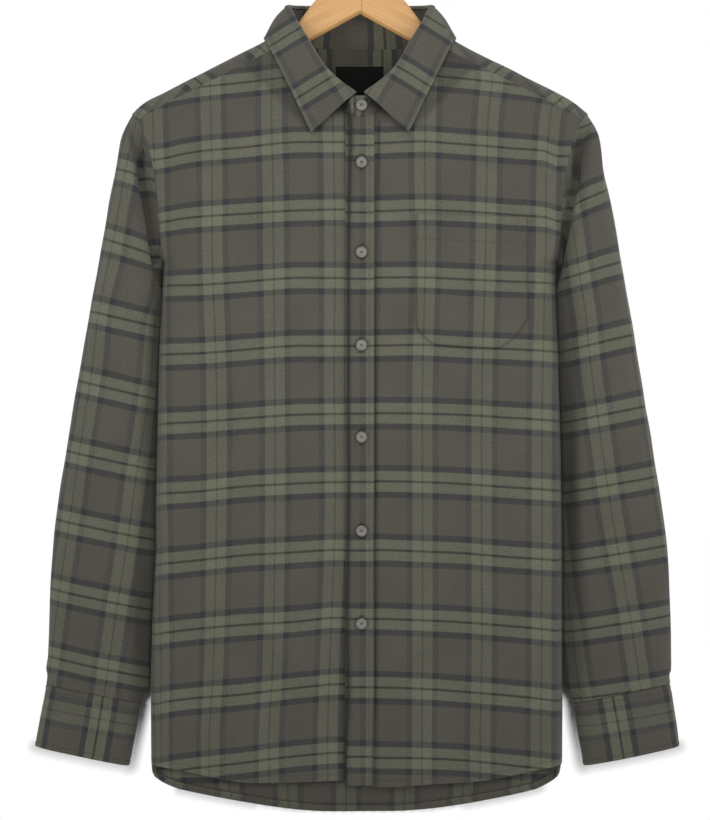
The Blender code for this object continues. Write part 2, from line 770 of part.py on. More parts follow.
def build_buttons(finish):
    pieces = []
    for number, down in enumerate(FRONT_BUTTON_DOWNS, 1):
        on = lay_on_front(BUTTON_X, down, LAY + DOUBLE + LAY + 0.2)
        pieces.append(build_button(f"front_button_{number}", on, (0, -1, 0), finish))
    low, high = stand_column(180.0, 1)
    share = (low.z - COLLAR_BUTTON_DOWN) / (low.z - high.z)
    on = Vector((BUTTON_X, low.y + (high.y - low.y) * share - LAY - 0.3, COLLAR_BUTTON_DOWN))
    tilt = (high.y - low.y) / (low.z - high.z)
    pieces.append(build_button("collar_button", on, (0, -1, tilt), finish))
    for name, side in (("right_cuff_button", -1), ("left_cuff_button", 1)):
        on = sleeve_back_point(side, 0.42, len(SLEEVE) - 0.45, LAY)
        pieces.append(build_button(name, on, (0, 1, 0), finish))
    return pieces


# ---- hanger -------------------------------------------------------------------------------
def hanger_outline():
    """Closed outline of the wooden hanger in the front view, right half then left half."""
    upper = [(x, down) for x, down in HANGER_TOP]
    neck_x = HANGER_TOP[-1][0]
    for index in range(1, 9):
        x = neck_x + (HANGER_END - neck_x) * index / 8
        upper.append((x, ridge(x) + HANGER_BELOW_RIDGE))
    end_top, end_low = upper[-1][1], HANGER_UNDER_PEAK + HANGER_UNDER_SLOPE * HANGER_END
    under = []
    for index in range(1, 4):
        angle = math.pi / 4 * index
        middle = (end_top + end_low) / 2
        half = (end_low - end_top) / 2
        under.append((HANGER_END + 5.0 * math.sin(angle), middle - half * math.cos(angle)))
    for index in range(8, -1, -1):
        x = HANGER_END * index / 8
        under.append((x, HANGER_UNDER_PEAK + HANGER_UNDER_SLOPE * x))
    right = upper + under
    left = [(-x, down) for x, down in right[-2:0:-1]]
    return right + left


def build_hanger(finish):
    outline = hanger_outline()
    bm = bmesh.new()
    front = [bm.verts.new(place(x, -HANGER_HALF_THICK, down)) for x, down in outline]
    face = bm.faces.new(front)
    moved = bmesh.ops.extrude_face_region(bm, geom=[face])
    verts = [item for item in moved["geom"] if isinstance(item, bmesh.types.BMVert)]
    bmesh.ops.translate(bm, verts=verts, vec=(0, 2 * HANGER_HALF_THICK * MM, 0))
    bmesh.ops.recalc_face_normals(bm, faces=bm.faces)
    rims = [item for item in bm.edges if abs(item.verts[0].co.y - item.verts[1].co.y) < 1e-6]
    bmesh.ops.bevel(bm, geom=rims, offset=2.6 * MM, segments=1, profile=0.5, affect="EDGES")
    mesh = bpy.data.meshes.new("hanger")
    bm.to_mesh(mesh)
    bm.free()
    return add_object("hanger", mesh, finish)


def build_hook(finish):
    """Steel hook: a straight shank that sweeps into an open ring above the hanger."""
    centre = HOOK_CENTRE_DOWN
    path = [(0.0, -24.4), (0.0, -28.0), (0.4, -32.0), (3.0, -36.5)]
    for degrees in range(-62, 206, 14):
        angle = math.radians(degrees)
        path.append((HOOK_RADIUS * math.cos(angle), centre - HOOK_RADIUS * math.sin(angle)))
    points = []
    for index, (x, down) in enumerate(path):
        before, after = path[max(index - 1, 0)], path[min(index + 1, len(path) - 1)]
        run = Vector((after[0] - before[0], 0, after[1] - before[1])).normalized()
        across = run.cross(Vector((0, 1, 0)))
        for step in range(HOOK_SIDES):
            angle = 2 * math.pi * step / HOOK_SIDES
            off = (across * math.cos(angle) + Vector((0, 1, 0)) * math.sin(angle)) * HOOK_WIRE
            points.append(place(x + off.x, off.y, down + off.z))
    faces = [tuple(range(HOOK_SIDES)), tuple(range(len(points) - HOOK_SIDES, len(points)))]
    for ring in range(0, len(points) - HOOK_SIDES, HOOK_SIDES):
        for step in range(HOOK_SIDES):
            after = (step + 1) % HOOK_SIDES
            faces.append((ring + step, ring + after, ring + HOOK_SIDES + after, ring + HOOK_SIDES + step))
    mesh = bpy.data.meshes.new("hook")
    mesh.from_pydata(points, [], faces)
    face_outwards(mesh)
    mesh.shade_smooth()
    return add_object("hook", mesh, finish)


def main():
    for old in list(bpy.data.objects):
        bpy.data.objects.remove(old, do_unlink=True)
    flannel = material("Brushed flannel", (0.088, 0.083, 0.066), 0.95)
    label_cloth = material("Woven satin label", (0.008, 0.009, 0.008), 0.6)
    horn = material("Grey button resin", (0.27, 0.26, 0.24), 0.4)
    beech = material("Lacquered beech", (0.72, 0.4, 0.15), 0.45)
    steel = material("Plated steel wire", (0.7, 0.7, 0.7), 0.25, 1.0)
    build_fronts(flannel)
    build_back(flannel)
    build_yoke(flannel)
    build_placket(flannel)
    build_pocket(flannel)
    for word, side in (("right", -1), ("left", 1)):
        build_sleeve(f"{word}_sleeve", side, flannel)
        build_cuff(f"{word}_cuff", side, flannel)
        build_sleeve_placket(f"{word}_sleeve_placket", side, flannel)
    build_stand(flannel)
    build_leaf(flannel)
    build_label(label_cloth)
    build_buttons(horn)
    build_hanger(beech)
    build_hook(steel)


main()
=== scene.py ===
# %% [markdown]
# # A plaid flannel shirt on a wooden hanger
# The shirt's front faces -Y, its own left side is at +X and +Z is up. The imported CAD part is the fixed
# frame. Its buttons, hanger, hook and label are shown as they are, with better materials. Every cut
# piece of cloth is shown as a thin shell on the form of its solid, with its creases, its plaid and its
# stitches. Sizes are in millimetres until `to_world` turns them into metres, and heights are given as
# `down`, the distance below the collar's fold at the side of the neck. A cloth simulation would crease
# the shirt too, but not twice alike. Here every crease is written down, so it can be read and changed.

# %% Load the frame
import functools
import math

import bpy
import numpy as np
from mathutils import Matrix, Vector


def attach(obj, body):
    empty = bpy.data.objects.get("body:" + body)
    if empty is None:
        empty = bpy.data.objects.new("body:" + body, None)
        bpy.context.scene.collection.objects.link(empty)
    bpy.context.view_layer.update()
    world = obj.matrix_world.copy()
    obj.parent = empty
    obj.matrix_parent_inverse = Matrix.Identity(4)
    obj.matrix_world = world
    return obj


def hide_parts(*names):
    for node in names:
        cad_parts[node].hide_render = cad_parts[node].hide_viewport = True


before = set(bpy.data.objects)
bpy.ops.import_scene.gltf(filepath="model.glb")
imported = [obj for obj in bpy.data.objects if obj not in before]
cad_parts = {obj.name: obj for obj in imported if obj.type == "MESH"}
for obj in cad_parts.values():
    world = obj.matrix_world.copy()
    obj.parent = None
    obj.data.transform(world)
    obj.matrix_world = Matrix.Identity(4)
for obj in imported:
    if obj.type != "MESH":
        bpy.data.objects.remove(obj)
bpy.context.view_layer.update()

# %% [markdown]
# ## The form
# An empty shirt hangs from the hanger's two arms, flat in front and rounded at its sides. These are the
# part's own sizes and formulas: the shoulder line, the body's sections, the sleeve's sections and the
# collar's fold. The solids' triangles could be moved instead, but they are coarse, and a formula gives a
# point wherever the finer grid of a shell needs one.

# %% Sizes shared with the part
SEAM, LAY = 0.4, 0.35
CLOTH, DOUBLE = 1.4, 1.8
HOOK_DROP = 86.0
SHOULDER_SLOPE, SHOULDER_AT_NECK = 0.5056, -13.3
TIP_BEND_FROM, TIP_BEND = 214.0, 0.012
RIDGE_RADIUS, FRONT_FALL, BACK_FALL = 9.0, 45.0, 25.0
CROWN, CORNER = 4.0, 26.0
NECK_HALF, NECK_BACK_DOWN, NECK_FRONT_DOWN = 81.0, 40.0, 119.0
YOKE_FRONT_DROP, YOKE_FRONT_X, YOKE_BACK_DOWN = 15.5, 77.0, 138.0
SIDE_HEM_DOWN = 783.0
FRONT_HEM_RUN, BACK_HEM_RUN = (18.0, 130.0), (56.0, 210.0)
PLACKET_EDGES = (-15.0, 14.5)
RIGHT_FRONT_LAP, LEFT_FRONT_EDGE = 11.5, 13.0
BUTTON_X = 1.6
FRONT_BUTTON_DOWNS = (165.7, 257.3, 352.0, 445.7, 541.4, 636.1)
CREASE_FADE = 10.0
LAP_OUT, STAND_BELOW_FOLD, ROLL_RADIUS = 2.3, 3.2, 3.0
# Rows of stitches, from the edge beside them: at hems, on bands, on the pocket and the stand, on sleeve
# plackets and the yoke, on the collar leaf, and at the pocket's mouth.
HEM_ROW, BAND_ROW, CLOSE_ROW, SEAM_ROW, LEAF_ROW, MOUTH_ROW = 7.0, 5.5, 1.8, 2.2, 2.4, 26.5

# Body sections: down, half_width, front, back.
BODY = (
    (60.0, 203.5, 48.0, 42.0), (263.0, 203.5, 48.0, 42.0), (305.0, 204.5, 48.0, 42.0),
    (365.0, 207.0, 47.0, 41.5), (440.0, 208.7, 46.0, 41.0), (530.0, 210.3, 45.0, 40.0),
    (650.0, 211.3, 44.0, 39.0), (740.0, 211.8, 43.0, 38.0), (860.0, 210.5, 42.0, 37.0),
)
# Sleeve sections: number, out_x, out_down, in_down, gap, half_depth, bow, square. The last is the cuff's end.
SLEEVE = (
    (0, 236.0, 112.7, 265.0, 0.0, 34.0, 12.0, 2.6), (1, 239.5, 119.5, 275.0, 1.3, 23.0, 5.0, 2.5),
    (2, 243.0, 127.5, 283.0, 1.3, 34.0, 1.5, 2.6), (3, 247.0, 139.0, 289.0, 1.0, 38.0, 0.0, 2.7),
    (4, 251.0, 159.5, 294.0, 1.0, 40.0, 0.0, 2.8), (5, 255.0, 182.0, 299.0, 1.0, 40.0, 0.0, 2.8),
    (6, 261.0, 213.0, 304.0, 1.0, 39.0, 0.0, 2.8), (7, 267.5, 250.0, 314.0, 1.0, 38.0, 0.0, 2.8),
    (8, 274.0, 287.0, 324.0, 1.0, 37.0, 0.0, 2.8), (9, 279.5, 320.0, 340.0, 1.0, 36.0, 0.0, 2.8),
    (10, 285.5, 354.0, 374.0, 1.0, 34.0, 0.0, 2.8), (11, 292.0, 391.0, 411.0, 1.0, 32.0, 0.0, 2.8),
    (12, 298.5, 428.0, 448.0, 1.0, 30.5, 0.0, 2.8), (13, 304.5, 465.0, 485.0, 1.0, 29.0, 0.0, 2.8),
    (14, 310.5, 504.0, 524.0, 1.0, 27.5, 0.0, 2.8), (15, 316.0, 544.0, 564.0, 1.0, 26.0, 0.0, 2.8),
    (16, 319.5, 584.0, 604.0, 1.0, 25.0, 0.0, 2.8), (17, 321.0, 622.0, 642.0, 1.0, 24.0, 0.0, 2.8),
    (18, 321.8, 658.0, 677.0, 1.5, 23.0, 0.0, 2.8), (19, 322.0, 684.0, 703.0, 3.5, 21.0, 0.0, 2.7),
    (20, 320.0, 701.0, 720.5, 5.5, 18.5, 0.0, 2.6), (21, 331.5, 765.0, 785.5, 19.0, 17.5, 0.0, 2.6),
)
LAST = 20
# Collar fold: turn, half_x, y, down. Free edge of the leaf: turn, half_x, drop, lift.
FOLD = (
    (0.0, 0.0, 37.0, -4.0), (30.0, 38.0, 33.0, -3.5), (60.0, 65.0, 19.0, -2.0), (85.0, 74.0, 2.0, 0.0),
    (100.0, 70.5, -9.0, 6.0), (115.0, 64.5, -18.0, 18.5), (135.0, 51.5, -30.0, 41.0),
    (155.0, 37.5, -40.5, 65.0), (168.0, 23.5, -46.5, 81.0), (180.0, 4.5, -50.0, 95.5),
)
LEAF_EDGE = (
    (0.0, 0.0, 57.0, 4.5), (30.0, 47.0, 33.5, 4.5), (60.0, 84.0, 12.0, 4.5), (85.0, 98.0, 1.0, 4.0),
    (100.0, 94.0, -9.5, 4.5), (115.0, 88.0, -24.5, 4.5), (135.0, 77.0, -52.5, 4.0),
    (155.0, 65.5, -82.0, 4.5), (168.0, 57.0, -104.5, 5.0), (180.0, 49.5, -124.0, 5.5),
)
# Broad folds of the body's solids: x0, down0, x1, down1, depth, width.
BODY_FOLDS = (
    (-150.0, 420.0, -95.0, 760.0, 2.4, 22.0), (-60.0, 520.0, -70.0, 790.0, -2.0, 20.0),
    (120.0, 470.0, 70.0, 780.0, 2.2, 22.0), (175.0, 300.0, 165.0, 700.0, 2.0, 18.0),
    (60.0, 190.0, 150.0, 250.0, 1.6, 18.0),
)
# Pocket outline: x, bottom.
POCKET = (
    (57.0, 331.0), (60.5, 339.0), (74.5, 352.0), (100.0, 353.8),
    (141.0, 356.5), (157.5, 345.5), (165.0, 334.0), (171.5, 322.0),
)
POCKET_MOUTH = (217.5, 4.0)
print("sections:", len(BODY), "body,", len(SLEEVE), "sleeve")


# %% Curves and tables
def clamp(value, low, high):
    return max(low, min(high, value))


def smooth_step(value):
    t = np.clip(value, 0.0, 1.0)
    return t * t * (3.0 - 2.0 * t)


def lookup(rows, at):
    """A smooth row of a table at a value of its first column."""
    at = clamp(at, rows[0][0], rows[-1][0])
    index = 0
    while index < len(rows) - 2 and at > rows[index + 1][0]:
        index += 1
    before, start, end = rows[max(index - 1, 0)], rows[index], rows[index + 1]
    after = rows[min(index + 2, len(rows) - 1)]
    span = end[0] - start[0]
    t = (at - start[0]) / span
    values = []
    for column in range(len(start)):
        slope_in = (end[column] - before[column]) / max(end[0] - before[0], 1e-9) * span
        slope_out = (after[column] - start[column]) / max(after[0] - start[0], 1e-9) * span
        values.append((2 * t**3 - 3 * t**2 + 1) * start[column] + (t**3 - 2 * t**2 + t) * slope_in
                      + (3 * t**2 - 2 * t**3) * end[column] + (t**3 - t**2) * slope_out)
    return values


def read_column(rows, at, column=1):
    """Straight-line values of one column of a table, at values of its first column."""
    first, values = np.array(rows).T[[0, column]]
    return np.interp(at, first, values)


# The body's sections, looked up once for every half millimetre of height.
BODY_TOP, BODY_LAST = BODY[0][0], 1600
BODY_STEPS = np.array([lookup(BODY, BODY_TOP + 0.5 * step) for step in range(BODY_LAST + 1)])


def body_at(down):
    return BODY_STEPS[int(clamp(round((down - BODY_TOP) * 2), 0, BODY_LAST))]


def fold_relief(x, down, folds):
    relief = 0.0
    for x0, down0, x1, down1, depth, width in folds:
        run_x, run_down = x1 - x0, down1 - down0
        along = ((x - x0) * run_x + (down - down0) * run_down) / (run_x**2 + run_down**2)
        near = clamp(along, 0.0, 1.0)
        distance = math.hypot(x - x0 - near * run_x, down - down0 - near * run_down)
        fade = math.sin(math.pi * clamp(along, 0.02, 0.98)) ** 0.5
        relief += depth * fade * math.exp(-(distance / width) ** 2)
    return relief


# %% The body's surface
def ridge(x):
    bend = max(0.0, abs(x) - TIP_BEND_FROM)
    return SHOULDER_AT_NECK + SHOULDER_SLOPE * abs(x) + TIP_BEND * bend**2


def loop_across(row, t):
    _, out_x, out_down, in_down, gap, half_depth, bow, square = row
    in_x = body_at(in_down)[1] + gap
    x = out_x + (in_x - out_x) * t - bow * math.sin(math.pi * t**0.6)
    down = out_down + (in_down - out_down) * t
    depth = half_depth * max(0.0, 1.0 - abs(1.0 - 2.0 * t) ** square) ** (1.0 / square)
    return x, down, depth


def edge(down):
    """Outer edge of the body panels: the armhole seam above, the side seam below."""
    tip_down, pit_down = SLEEVE[0][2], SLEEVE[0][3]
    if down >= pit_down:
        return body_at(down)[1], SEAM / 2
    x, _, depth = loop_across(SLEEVE[0], clamp((down - tip_down) / (pit_down - tip_down), 0.0, 1.0))
    return x, max(depth, SEAM / 2)


def surface_depth(x, down, front):
    _, half_width, front_full, back_full = body_at(down)
    full = front_full if front else back_full
    fall = FRONT_FALL if front else BACK_FALL
    drop = max(0.0, down - ridge(x))
    lack = 1.0 - min(drop / RIDGE_RADIUS, 1.0)
    field = RIDGE_RADIUS * math.sqrt(1.0 - lack**2)
    field += (full - RIDGE_RADIUS) * (1.0 - math.exp(-drop / fall))
    field -= CROWN * (x / half_width) ** 2 * min(drop / 60.0, 1.0)
    field -= fold_relief(x if front else -x, down, BODY_FOLDS)
    edge_x, edge_y = edge(down)
    near = 1.0 - clamp((edge_x - abs(x)) / CORNER, 0.0, 1.0)
    return edge_y + (field - edge_y) * math.sqrt(1.0 - near**2)


def front_point(x, down, out=0.0):
    return Vector((x, -surface_depth(x, down, True) - out, down))


def back_point(x, down, out=0.0):
    return Vector((x, surface_depth(x, down, False) + out, down))


def girth_drop(girth):
    quarter = RIDGE_RADIUS * math.pi / 2
    if abs(girth) < quarter:
        return RIDGE_RADIUS * (1.0 - math.cos(girth / RIDGE_RADIUS))
    return RIDGE_RADIUS + abs(girth) - quarter


def drop_girth(drop):
    size = abs(drop)
    if size < RIDGE_RADIUS:
        walked = RIDGE_RADIUS * math.acos(1.0 - size / RIDGE_RADIUS)
    else:
        walked = size - RIDGE_RADIUS + RIDGE_RADIUS * math.pi / 2
    return math.copysign(walked, drop)


def shoulder_point(x, girth):
    down = ridge(x) + girth_drop(girth)
    return front_point(x, down) if girth < 0 else back_point(x, down)


def shoulder_lift(x, girth, lift):
    step = 1.5
    here = shoulder_point(x, girth)
    across = shoulder_point(x + step, girth) - shoulder_point(x - step, girth)
    along = shoulder_point(x, girth + step) - shoulder_point(x, girth - step)
    normal = across.cross(along).normalized()
    if normal.y * girth < 0 or (abs(girth) < 6 and normal.z > 0):
        normal = -normal
    return here + normal * lift


def front_neckline(x):
    return NECK_FRONT_DOWN - (NECK_FRONT_DOWN - 42.0) * (abs(x) / YOKE_FRONT_X) ** 1.6


def back_neckline(x):
    return NECK_BACK_DOWN - (NECK_BACK_DOWN - ridge(NECK_HALF)) * (abs(x) / NECK_HALF) ** 4.6


def front_top(x):
    if abs(x) >= YOKE_FRONT_X:
        return ridge(x) + YOKE_FRONT_DROP + SEAM / 2 + 1.3 * smooth_step((abs(x) - 200.0) / 18.0)
    return front_neckline(x)


def front_hem(length):
    return SIDE_HEM_DOWN + FRONT_HEM_RUN[0] * smooth_step(length / FRONT_HEM_RUN[1])


def back_hem(length):
    return SIDE_HEM_DOWN + BACK_HEM_RUN[0] * (1.0 - (1.0 - clamp(length / BACK_HEM_RUN[1], 0, 1)) ** 2)


print("shoulder line at the neck and the tip:", ridge(NECK_HALF), ridge(236.0))

# %% [markdown]
# ## Cloth shells
# Real cloth is one thin layer, so a piece starts as a grid of points on the outside of its solid.
# `relief` moves each point along the surface's normal: troughs are negative, ridges positive. Then the
# grid gets its thickness, inwards. A Displace modifier could do this as well, but here every point knows
# how far it is from the hem and the seams, so stitches and puckers fall into place.
# The UV map `Cloth` holds each point's place in the woven cloth, in millimetres: U counts across the
# warp yarns and V counts across the weft yarns.


# %% Shells and creases
def grid_normals(points, closed, toward):
    if closed:
        across = np.roll(points, -1, 1) - np.roll(points, 1, 1)
    else:
        across = np.gradient(points, axis=1)
    normal = np.cross(across, np.gradient(points, axis=0))
    normal /= np.linalg.norm(normal, axis=2, keepdims=True) + 1e-12
    reference = points - points.mean(axis=1, keepdims=True) if toward is None else np.array(toward)
    return normal if (normal * reference).sum() > 0 else -normal


def to_world(points):
    """Shirt millimetres (x, y, down) to world metres."""
    return np.stack([points[..., 0], points[..., 1], -(HOOK_DROP + points[..., 2])], axis=-1) * 0.001


def grid_faces(corners):
    """Four-sided faces between the rows and columns of a grid of vertex numbers."""
    around = [corners[:-1, :-1], corners[:-1, 1:], corners[1:, 1:], corners[1:, :-1]]
    return np.stack(around, -1).reshape(-1, 4)


def new_object(name, data):
    made = bpy.data.objects.new(name, data)
    bpy.context.scene.collection.objects.link(made)
    return made


SHELLS = {}
TURNED_LAYER = 0.9   # the second layer of a turned hem
# How far painted shade may darken a colour, and how far painted light may brighten it.
DARKEST, BRIGHTEST = 0.92, -0.4


def folded_over(plaid, rows):
    """Plaid coordinates with the first rows folded over along the cloth's first edge."""
    fold = plaid[:1]
    along = np.gradient(fold, axis=1)
    along /= np.linalg.norm(along, axis=2, keepdims=True) + 1e-12
    step = plaid[:rows] - fold
    folded = plaid.copy()
    folded[:rows] = fold + 2 * (step * along).sum(axis=2, keepdims=True) * along - step
    return folded


def cloth(name, points, plaid, thickness, relief=None, closed=False, toward=None, turned=0, painted_shade=None,
          inside_painted_light_and_shade=None):
    """One piece of cloth from its grid of outside points and the plaid coordinates of each.

    The first `turned` rows carry a hem: a second layer inside, folded up from the edge. The next argument is
    painted shade: the share of light taken from the colour at each point in narrow gaps, kept in a point
    attribute that the flannel reads. The last is the painted shade of the inner face where it differs, and
    painted light below zero, where light bounces about inside the shirt.
    """
    points = np.array(points, float)
    if relief is not None:
        points = points + grid_normals(points, closed, toward) * np.asarray(relief)[..., None]
    normals = grid_normals(points, closed, toward)
    rows, columns = points.shape[:2]
    wide = columns + 1 if closed else columns
    outside = to_world(points)
    depth = thickness + TURNED_LAYER * (np.arange(rows) < turned)
    inside = to_world(points - normals * depth[:, None, None])
    corners = np.arange(rows * wide).reshape(rows, wide)
    quads = grid_faces(corners)
    rims = [(corners[0, :-1], corners[0, 1:]), (corners[-1, 1:], corners[-1, :-1])]
    if not closed:
        rims += [(corners[1:, 0], corners[:-1, 0]), (corners[:-1, -1], corners[1:, -1])]
    rims = np.concatenate([np.stack(ends, -1) for ends in rims])
    step_across = outside[rows // 2, 1] - outside[rows // 2, 0]
    step_along = outside[rows // 2 + 1, 0] - outside[rows // 2, 0]
    facing = normals[rows // 2, 0] * (1, 1, -1)
    if np.dot(np.cross(step_across, step_along), facing) < 0:
        quads, rims = quads[:, ::-1], rims[:, ::-1]
    inner = rows * wide
    faces = np.concatenate([quads, quads[:, ::-1] + inner,
                            np.stack([rims[:, 1], rims[:, 0], rims[:, 0] + inner, rims[:, 1] + inner], -1)])
    unwrapped = np.arange(2 * inner)
    layer, place = unwrapped // inner, unwrapped % inner
    vertex = layer * rows * columns + (place // wide) * columns + (place % wide) % columns
    mesh = bpy.data.meshes.new(name)
    mesh.from_pydata(np.concatenate([outside.reshape(-1, 3), inside.reshape(-1, 3)]).tolist(), [],
                     vertex[faces].tolist())
    plaid = np.asarray(plaid, float)
    flat = np.concatenate([plaid.reshape(-1, 2), folded_over(plaid, turned).reshape(-1, 2)])
    uv = mesh.uv_layers.new(name="Cloth")
    uv.data.foreach_set("uv", flat[faces.ravel()].ravel())
    lost = np.zeros(points.shape[:2]) if painted_shade is None else np.clip(painted_shade, 0.0, DARKEST)
    lost_inside = lost if inside_painted_light_and_shade is None else np.clip(inside_painted_light_and_shade, BRIGHTEST, DARKEST)
    lost = np.concatenate([lost.ravel(), lost_inside.ravel()])
    mesh.attributes.new("PaintedLightAndShade", "FLOAT", "POINT").data.foreach_set("value", lost)
    mesh.shade_smooth()
    mesh.set_sharp_from_angle(angle=math.radians(55))
    piece = new_object(name, mesh)
    SHELLS[name] = (piece, points, normals)
    print(f"{name}: {len(mesh.polygons)} faces")
    return piece


def creases(across, down, lines):
    """Soft troughs (depth > 0) and ridges (depth < 0) along straight lines that fade at both ends."""
    relief = np.zeros_like(across)
    for x0, down0, x1, down1, depth, width in lines:
        run_x, run_down = x1 - x0, down1 - down0
        along = ((across - x0) * run_x + (down - down0) * run_down) / (run_x**2 + run_down**2)
        near = np.clip(along, 0.0, 1.0)
        away = np.hypot(across - x0 - near * run_x, down - down0 - near * run_down)
        relief -= depth * np.sin(np.pi * np.clip(along, 0.04, 0.96)) ** 0.6 * np.exp(-(away / width) ** 2)
    return relief


WAVE = 6.283   # one whole wave, in radians


def ripple(across, down, seed, size=1.0):
    """The small unevenness of hanging cloth: a few crossing waves of 30 to 110 mm."""
    random = np.random.default_rng(seed)
    relief = np.zeros_like(across)
    for wave in (110.0, 83.0, 61.0, 47.0, 36.0, 30.0):
        angle, phase = random.uniform(-0.5, 0.5), random.uniform(0, 6.28, 2)
        turned = across * math.cos(angle) + down * math.sin(angle)
        along = down * math.cos(angle) - across * math.sin(angle)
        swell = np.sin(turned * WAVE / wave + phase[0])
        relief += wave * 0.0035 * swell * np.sin(along * 2.2 / wave + phase[1])
    return relief * size


def pucker(along, distance, seed, size=0.22, reach=5.0):
    """Short waves beside a row of stitches."""
    random = np.random.default_rng(seed)
    relief = np.zeros_like(along)
    for wave in (7.3, 10.9, 15.7, 23.0):
        relief += np.sin(along * WAVE / wave + random.uniform(0, 6.28)) * (0.5 + random.random() * 0.5)
    return relief * size * 0.5 * np.exp(-np.abs(distance) / reach)


def seam_groove(distance, at, depth=0.35, width=0.9):
    """The line that a row of stitches pulls into the cloth, at a distance from the edge."""
    return -depth * np.exp(-((distance - at) / width) ** 2)


def soft_edge(distance, radius=1.0):
    """The rounding of a folded edge."""
    return -0.45 * (1.0 - np.clip(distance / radius, 0, 1)) ** 2


def walk(points, axis):
    """Length walked along a grid's rows (axis 0) or columns (axis 1)."""
    steps = np.linalg.norm(np.diff(points, axis=axis), axis=2)
    start = np.zeros_like(steps.take([0], axis=axis))
    return np.concatenate([start, np.cumsum(steps, axis=axis)], axis=axis)


print("shell tools ready")

# %% [markdown]
# ## Where the plaid's lines run
# A plaid is woven of dyed yarns, so its lines bend as the cloth hangs and break at every seam. It repeats
# every 62.5 mm across the warp and every 70 mm across the weft, and each repeat is centred on a thin dark
# line. One pattern laid over the whole shirt would run straight through the seams, so the tables give the
# thin lines' places on each piece. Between two lines the cloth is spread evenly.

# %% Plaid tables
WARP_REPEAT, WEFT_REPEAT = 62.5, 70.0
# Warp lines on the fronts: down, then the distance of each line from the centre, the outermost first.
RIGHT_WARP = (
    (82.4, 214.5, 154.2, 90.0, 27.5), (120.0, 212.7, 152.7, 90.3, 27.5), (183.7, 209.8, 151.0, 88.7, 26.3),
    (255.1, 209.1, 150.9, 88.1, 25.6), (392.7, 209.0, 146.2, 86.9, 26.2), (530.4, 207.2, 146.5, 86.7, 25.5),
    (673.4, 204.1, 149.6, 89.0, 30.8), (745.0, 204.1, 153.9, 92.9, 33.1),
)
LEFT_WARP = (
    (81.4, 203.1, 136.1, 67.5), (119.6, 195.1, 131.0, 66.7), (183.5, 190.4, 129.3, 66.3),
    (255.0, 190.0, 128.0, 66.8), (392.7, 186.4, 124.5, 63.8), (530.5, 185.9, 124.1, 63.8),
    (673.4, 185.5, 124.3, 63.8), (745.0, 185.0, 122.8, 63.2),
)
# Weft lines on the fronts: distance from the centre, then the level of each line.
RIGHT_WEFT = (
    (30.6, 76.0, 145.0, 213.9, 283.7, 353.0, 422.3, 491.8, 561.0, 630.4, 698.3, 768.3),
    (69.3, 77.5, 145.1, 215.1, 283.7, 353.0, 423.3, 493.4, 563.5, 634.4, 702.3, 771.9),
    (120.3, 82.3, 150.2, 218.3, 287.7, 357.0, 427.0, 496.5, 566.8, 637.8, 708.8, 778.7),
    (167.3, 86.3, 154.3, 221.3, 290.7, 360.6, 430.5, 501.6, 571.9, 641.8, 712.4, 784.0),
    (198.6, 90.9, 160.4, 225.6, 290.9, 361.3, 432.1, 503.4, 575.3, 645.9, 716.6, 788.9),
    (210.1, 91.4, 162.0, 227.6, 291.0, 362.3, 433.7, 505.5, 577.9, 648.9, 720.3, 792.6),
)
LEFT_WEFT = (
    (24.5, 76.0, 146.0, 215.4, 283.2, 352.5, 421.4, 490.8, 561.0, 631.4, 701.4, 773.4),
    (65.3, 75.5, 144.3, 214.3, 283.2, 351.9, 421.9, 491.8, 562.6, 633.0, 703.1, 774.1),
    (108.2, 78.6, 147.2, 215.7, 285.2, 354.5, 423.3, 493.9, 564.7, 635.2, 706.2, 776.1),
    (151.1, 82.8, 150.5, 218.8, 287.2, 356.0, 426.0, 497.0, 568.3, 638.8, 709.8, 780.9),
    (190.1, 88.0, 153.4, 221.6, 288.2, 357.9, 428.4, 499.6, 570.9, 642.5, 714.1, 785.2),
    (201.0, 89.8, 158.3, 225.0, 288.5, 358.7, 429.5, 500.9, 572.4, 644.6, 716.3, 788.2),
)
# Weft-type lines over the yoke, which is cut crosswise: their places across the back of the yoke.
YOKE_LINES = (-306.0, -240.5, -174.3, -108.9, -43.0, 22.0, 86.0, 150.5, 213.1, 277.0)
# Warp line along the front of a sleeve: down, distance from the centre.
RIGHT_SLEEVE_WARP = (
    (120.0, 231.0), (160.0, 237.5), (196.1, 244.2), (251.6, 253.5), (315.4, 267.6), (375.0, 274.4),
    (434.6, 283.7), (476.8, 290.9), (543.6, 300.1), (613.5, 310.9), (687.6, 320.3), (720.0, 324.5),
)
LEFT_SLEEVE_WARP = (
    (120.0, 204.0), (160.0, 209.0), (202.3, 213.9), (240.3, 219.1), (278.4, 224.2), (322.6, 231.4),
    (364.7, 235.5), (424.4, 243.7), (489.1, 253.0), (543.6, 261.8), (613.5, 274.6), (687.6, 286.4),
    (720.0, 292.0),
)
# Weft lines round a sleeve: level at the outer point, distance of that point, fall per millimetre inwards.
RIGHT_SLEEVE_WEFT = (
    (98.0, 240.0, 0.31), (169.0, 255.1, 0.31), (240.7, 268.1, 0.328), (316.1, 280.5, 0.234),
    (387.3, 293.4, 0.238), (459.5, 306.3, 0.215), (530.1, 317.6, 0.207), (601.8, 322.8, 0.209),
    (672.0, 323.0, 0.212), (742.0, 326.0, 0.212),
)
LEFT_SLEEVE_WEFT = (
    (122.0, 240.0, 0.45), (192.9, 252.2, 0.458), (267.1, 264.7, 0.30), (341.4, 278.1, 0.24),
    (415.1, 290.0, 0.20), (487.3, 302.0, 0.175), (558.5, 312.4, 0.16), (630.2, 318.3, 0.157),
    (702.9, 318.1, 0.139), (772.0, 320.0, 0.139),
)


def spread(value, places, repeat):
    """Plaid coordinate of a value among the rising places of the thin lines."""
    places = np.asarray(places)
    index = int(np.clip(np.searchsorted(places, value) - 1, 0, len(places) - 2))
    return (index + (value - places[index]) / (places[index + 1] - places[index])) * repeat


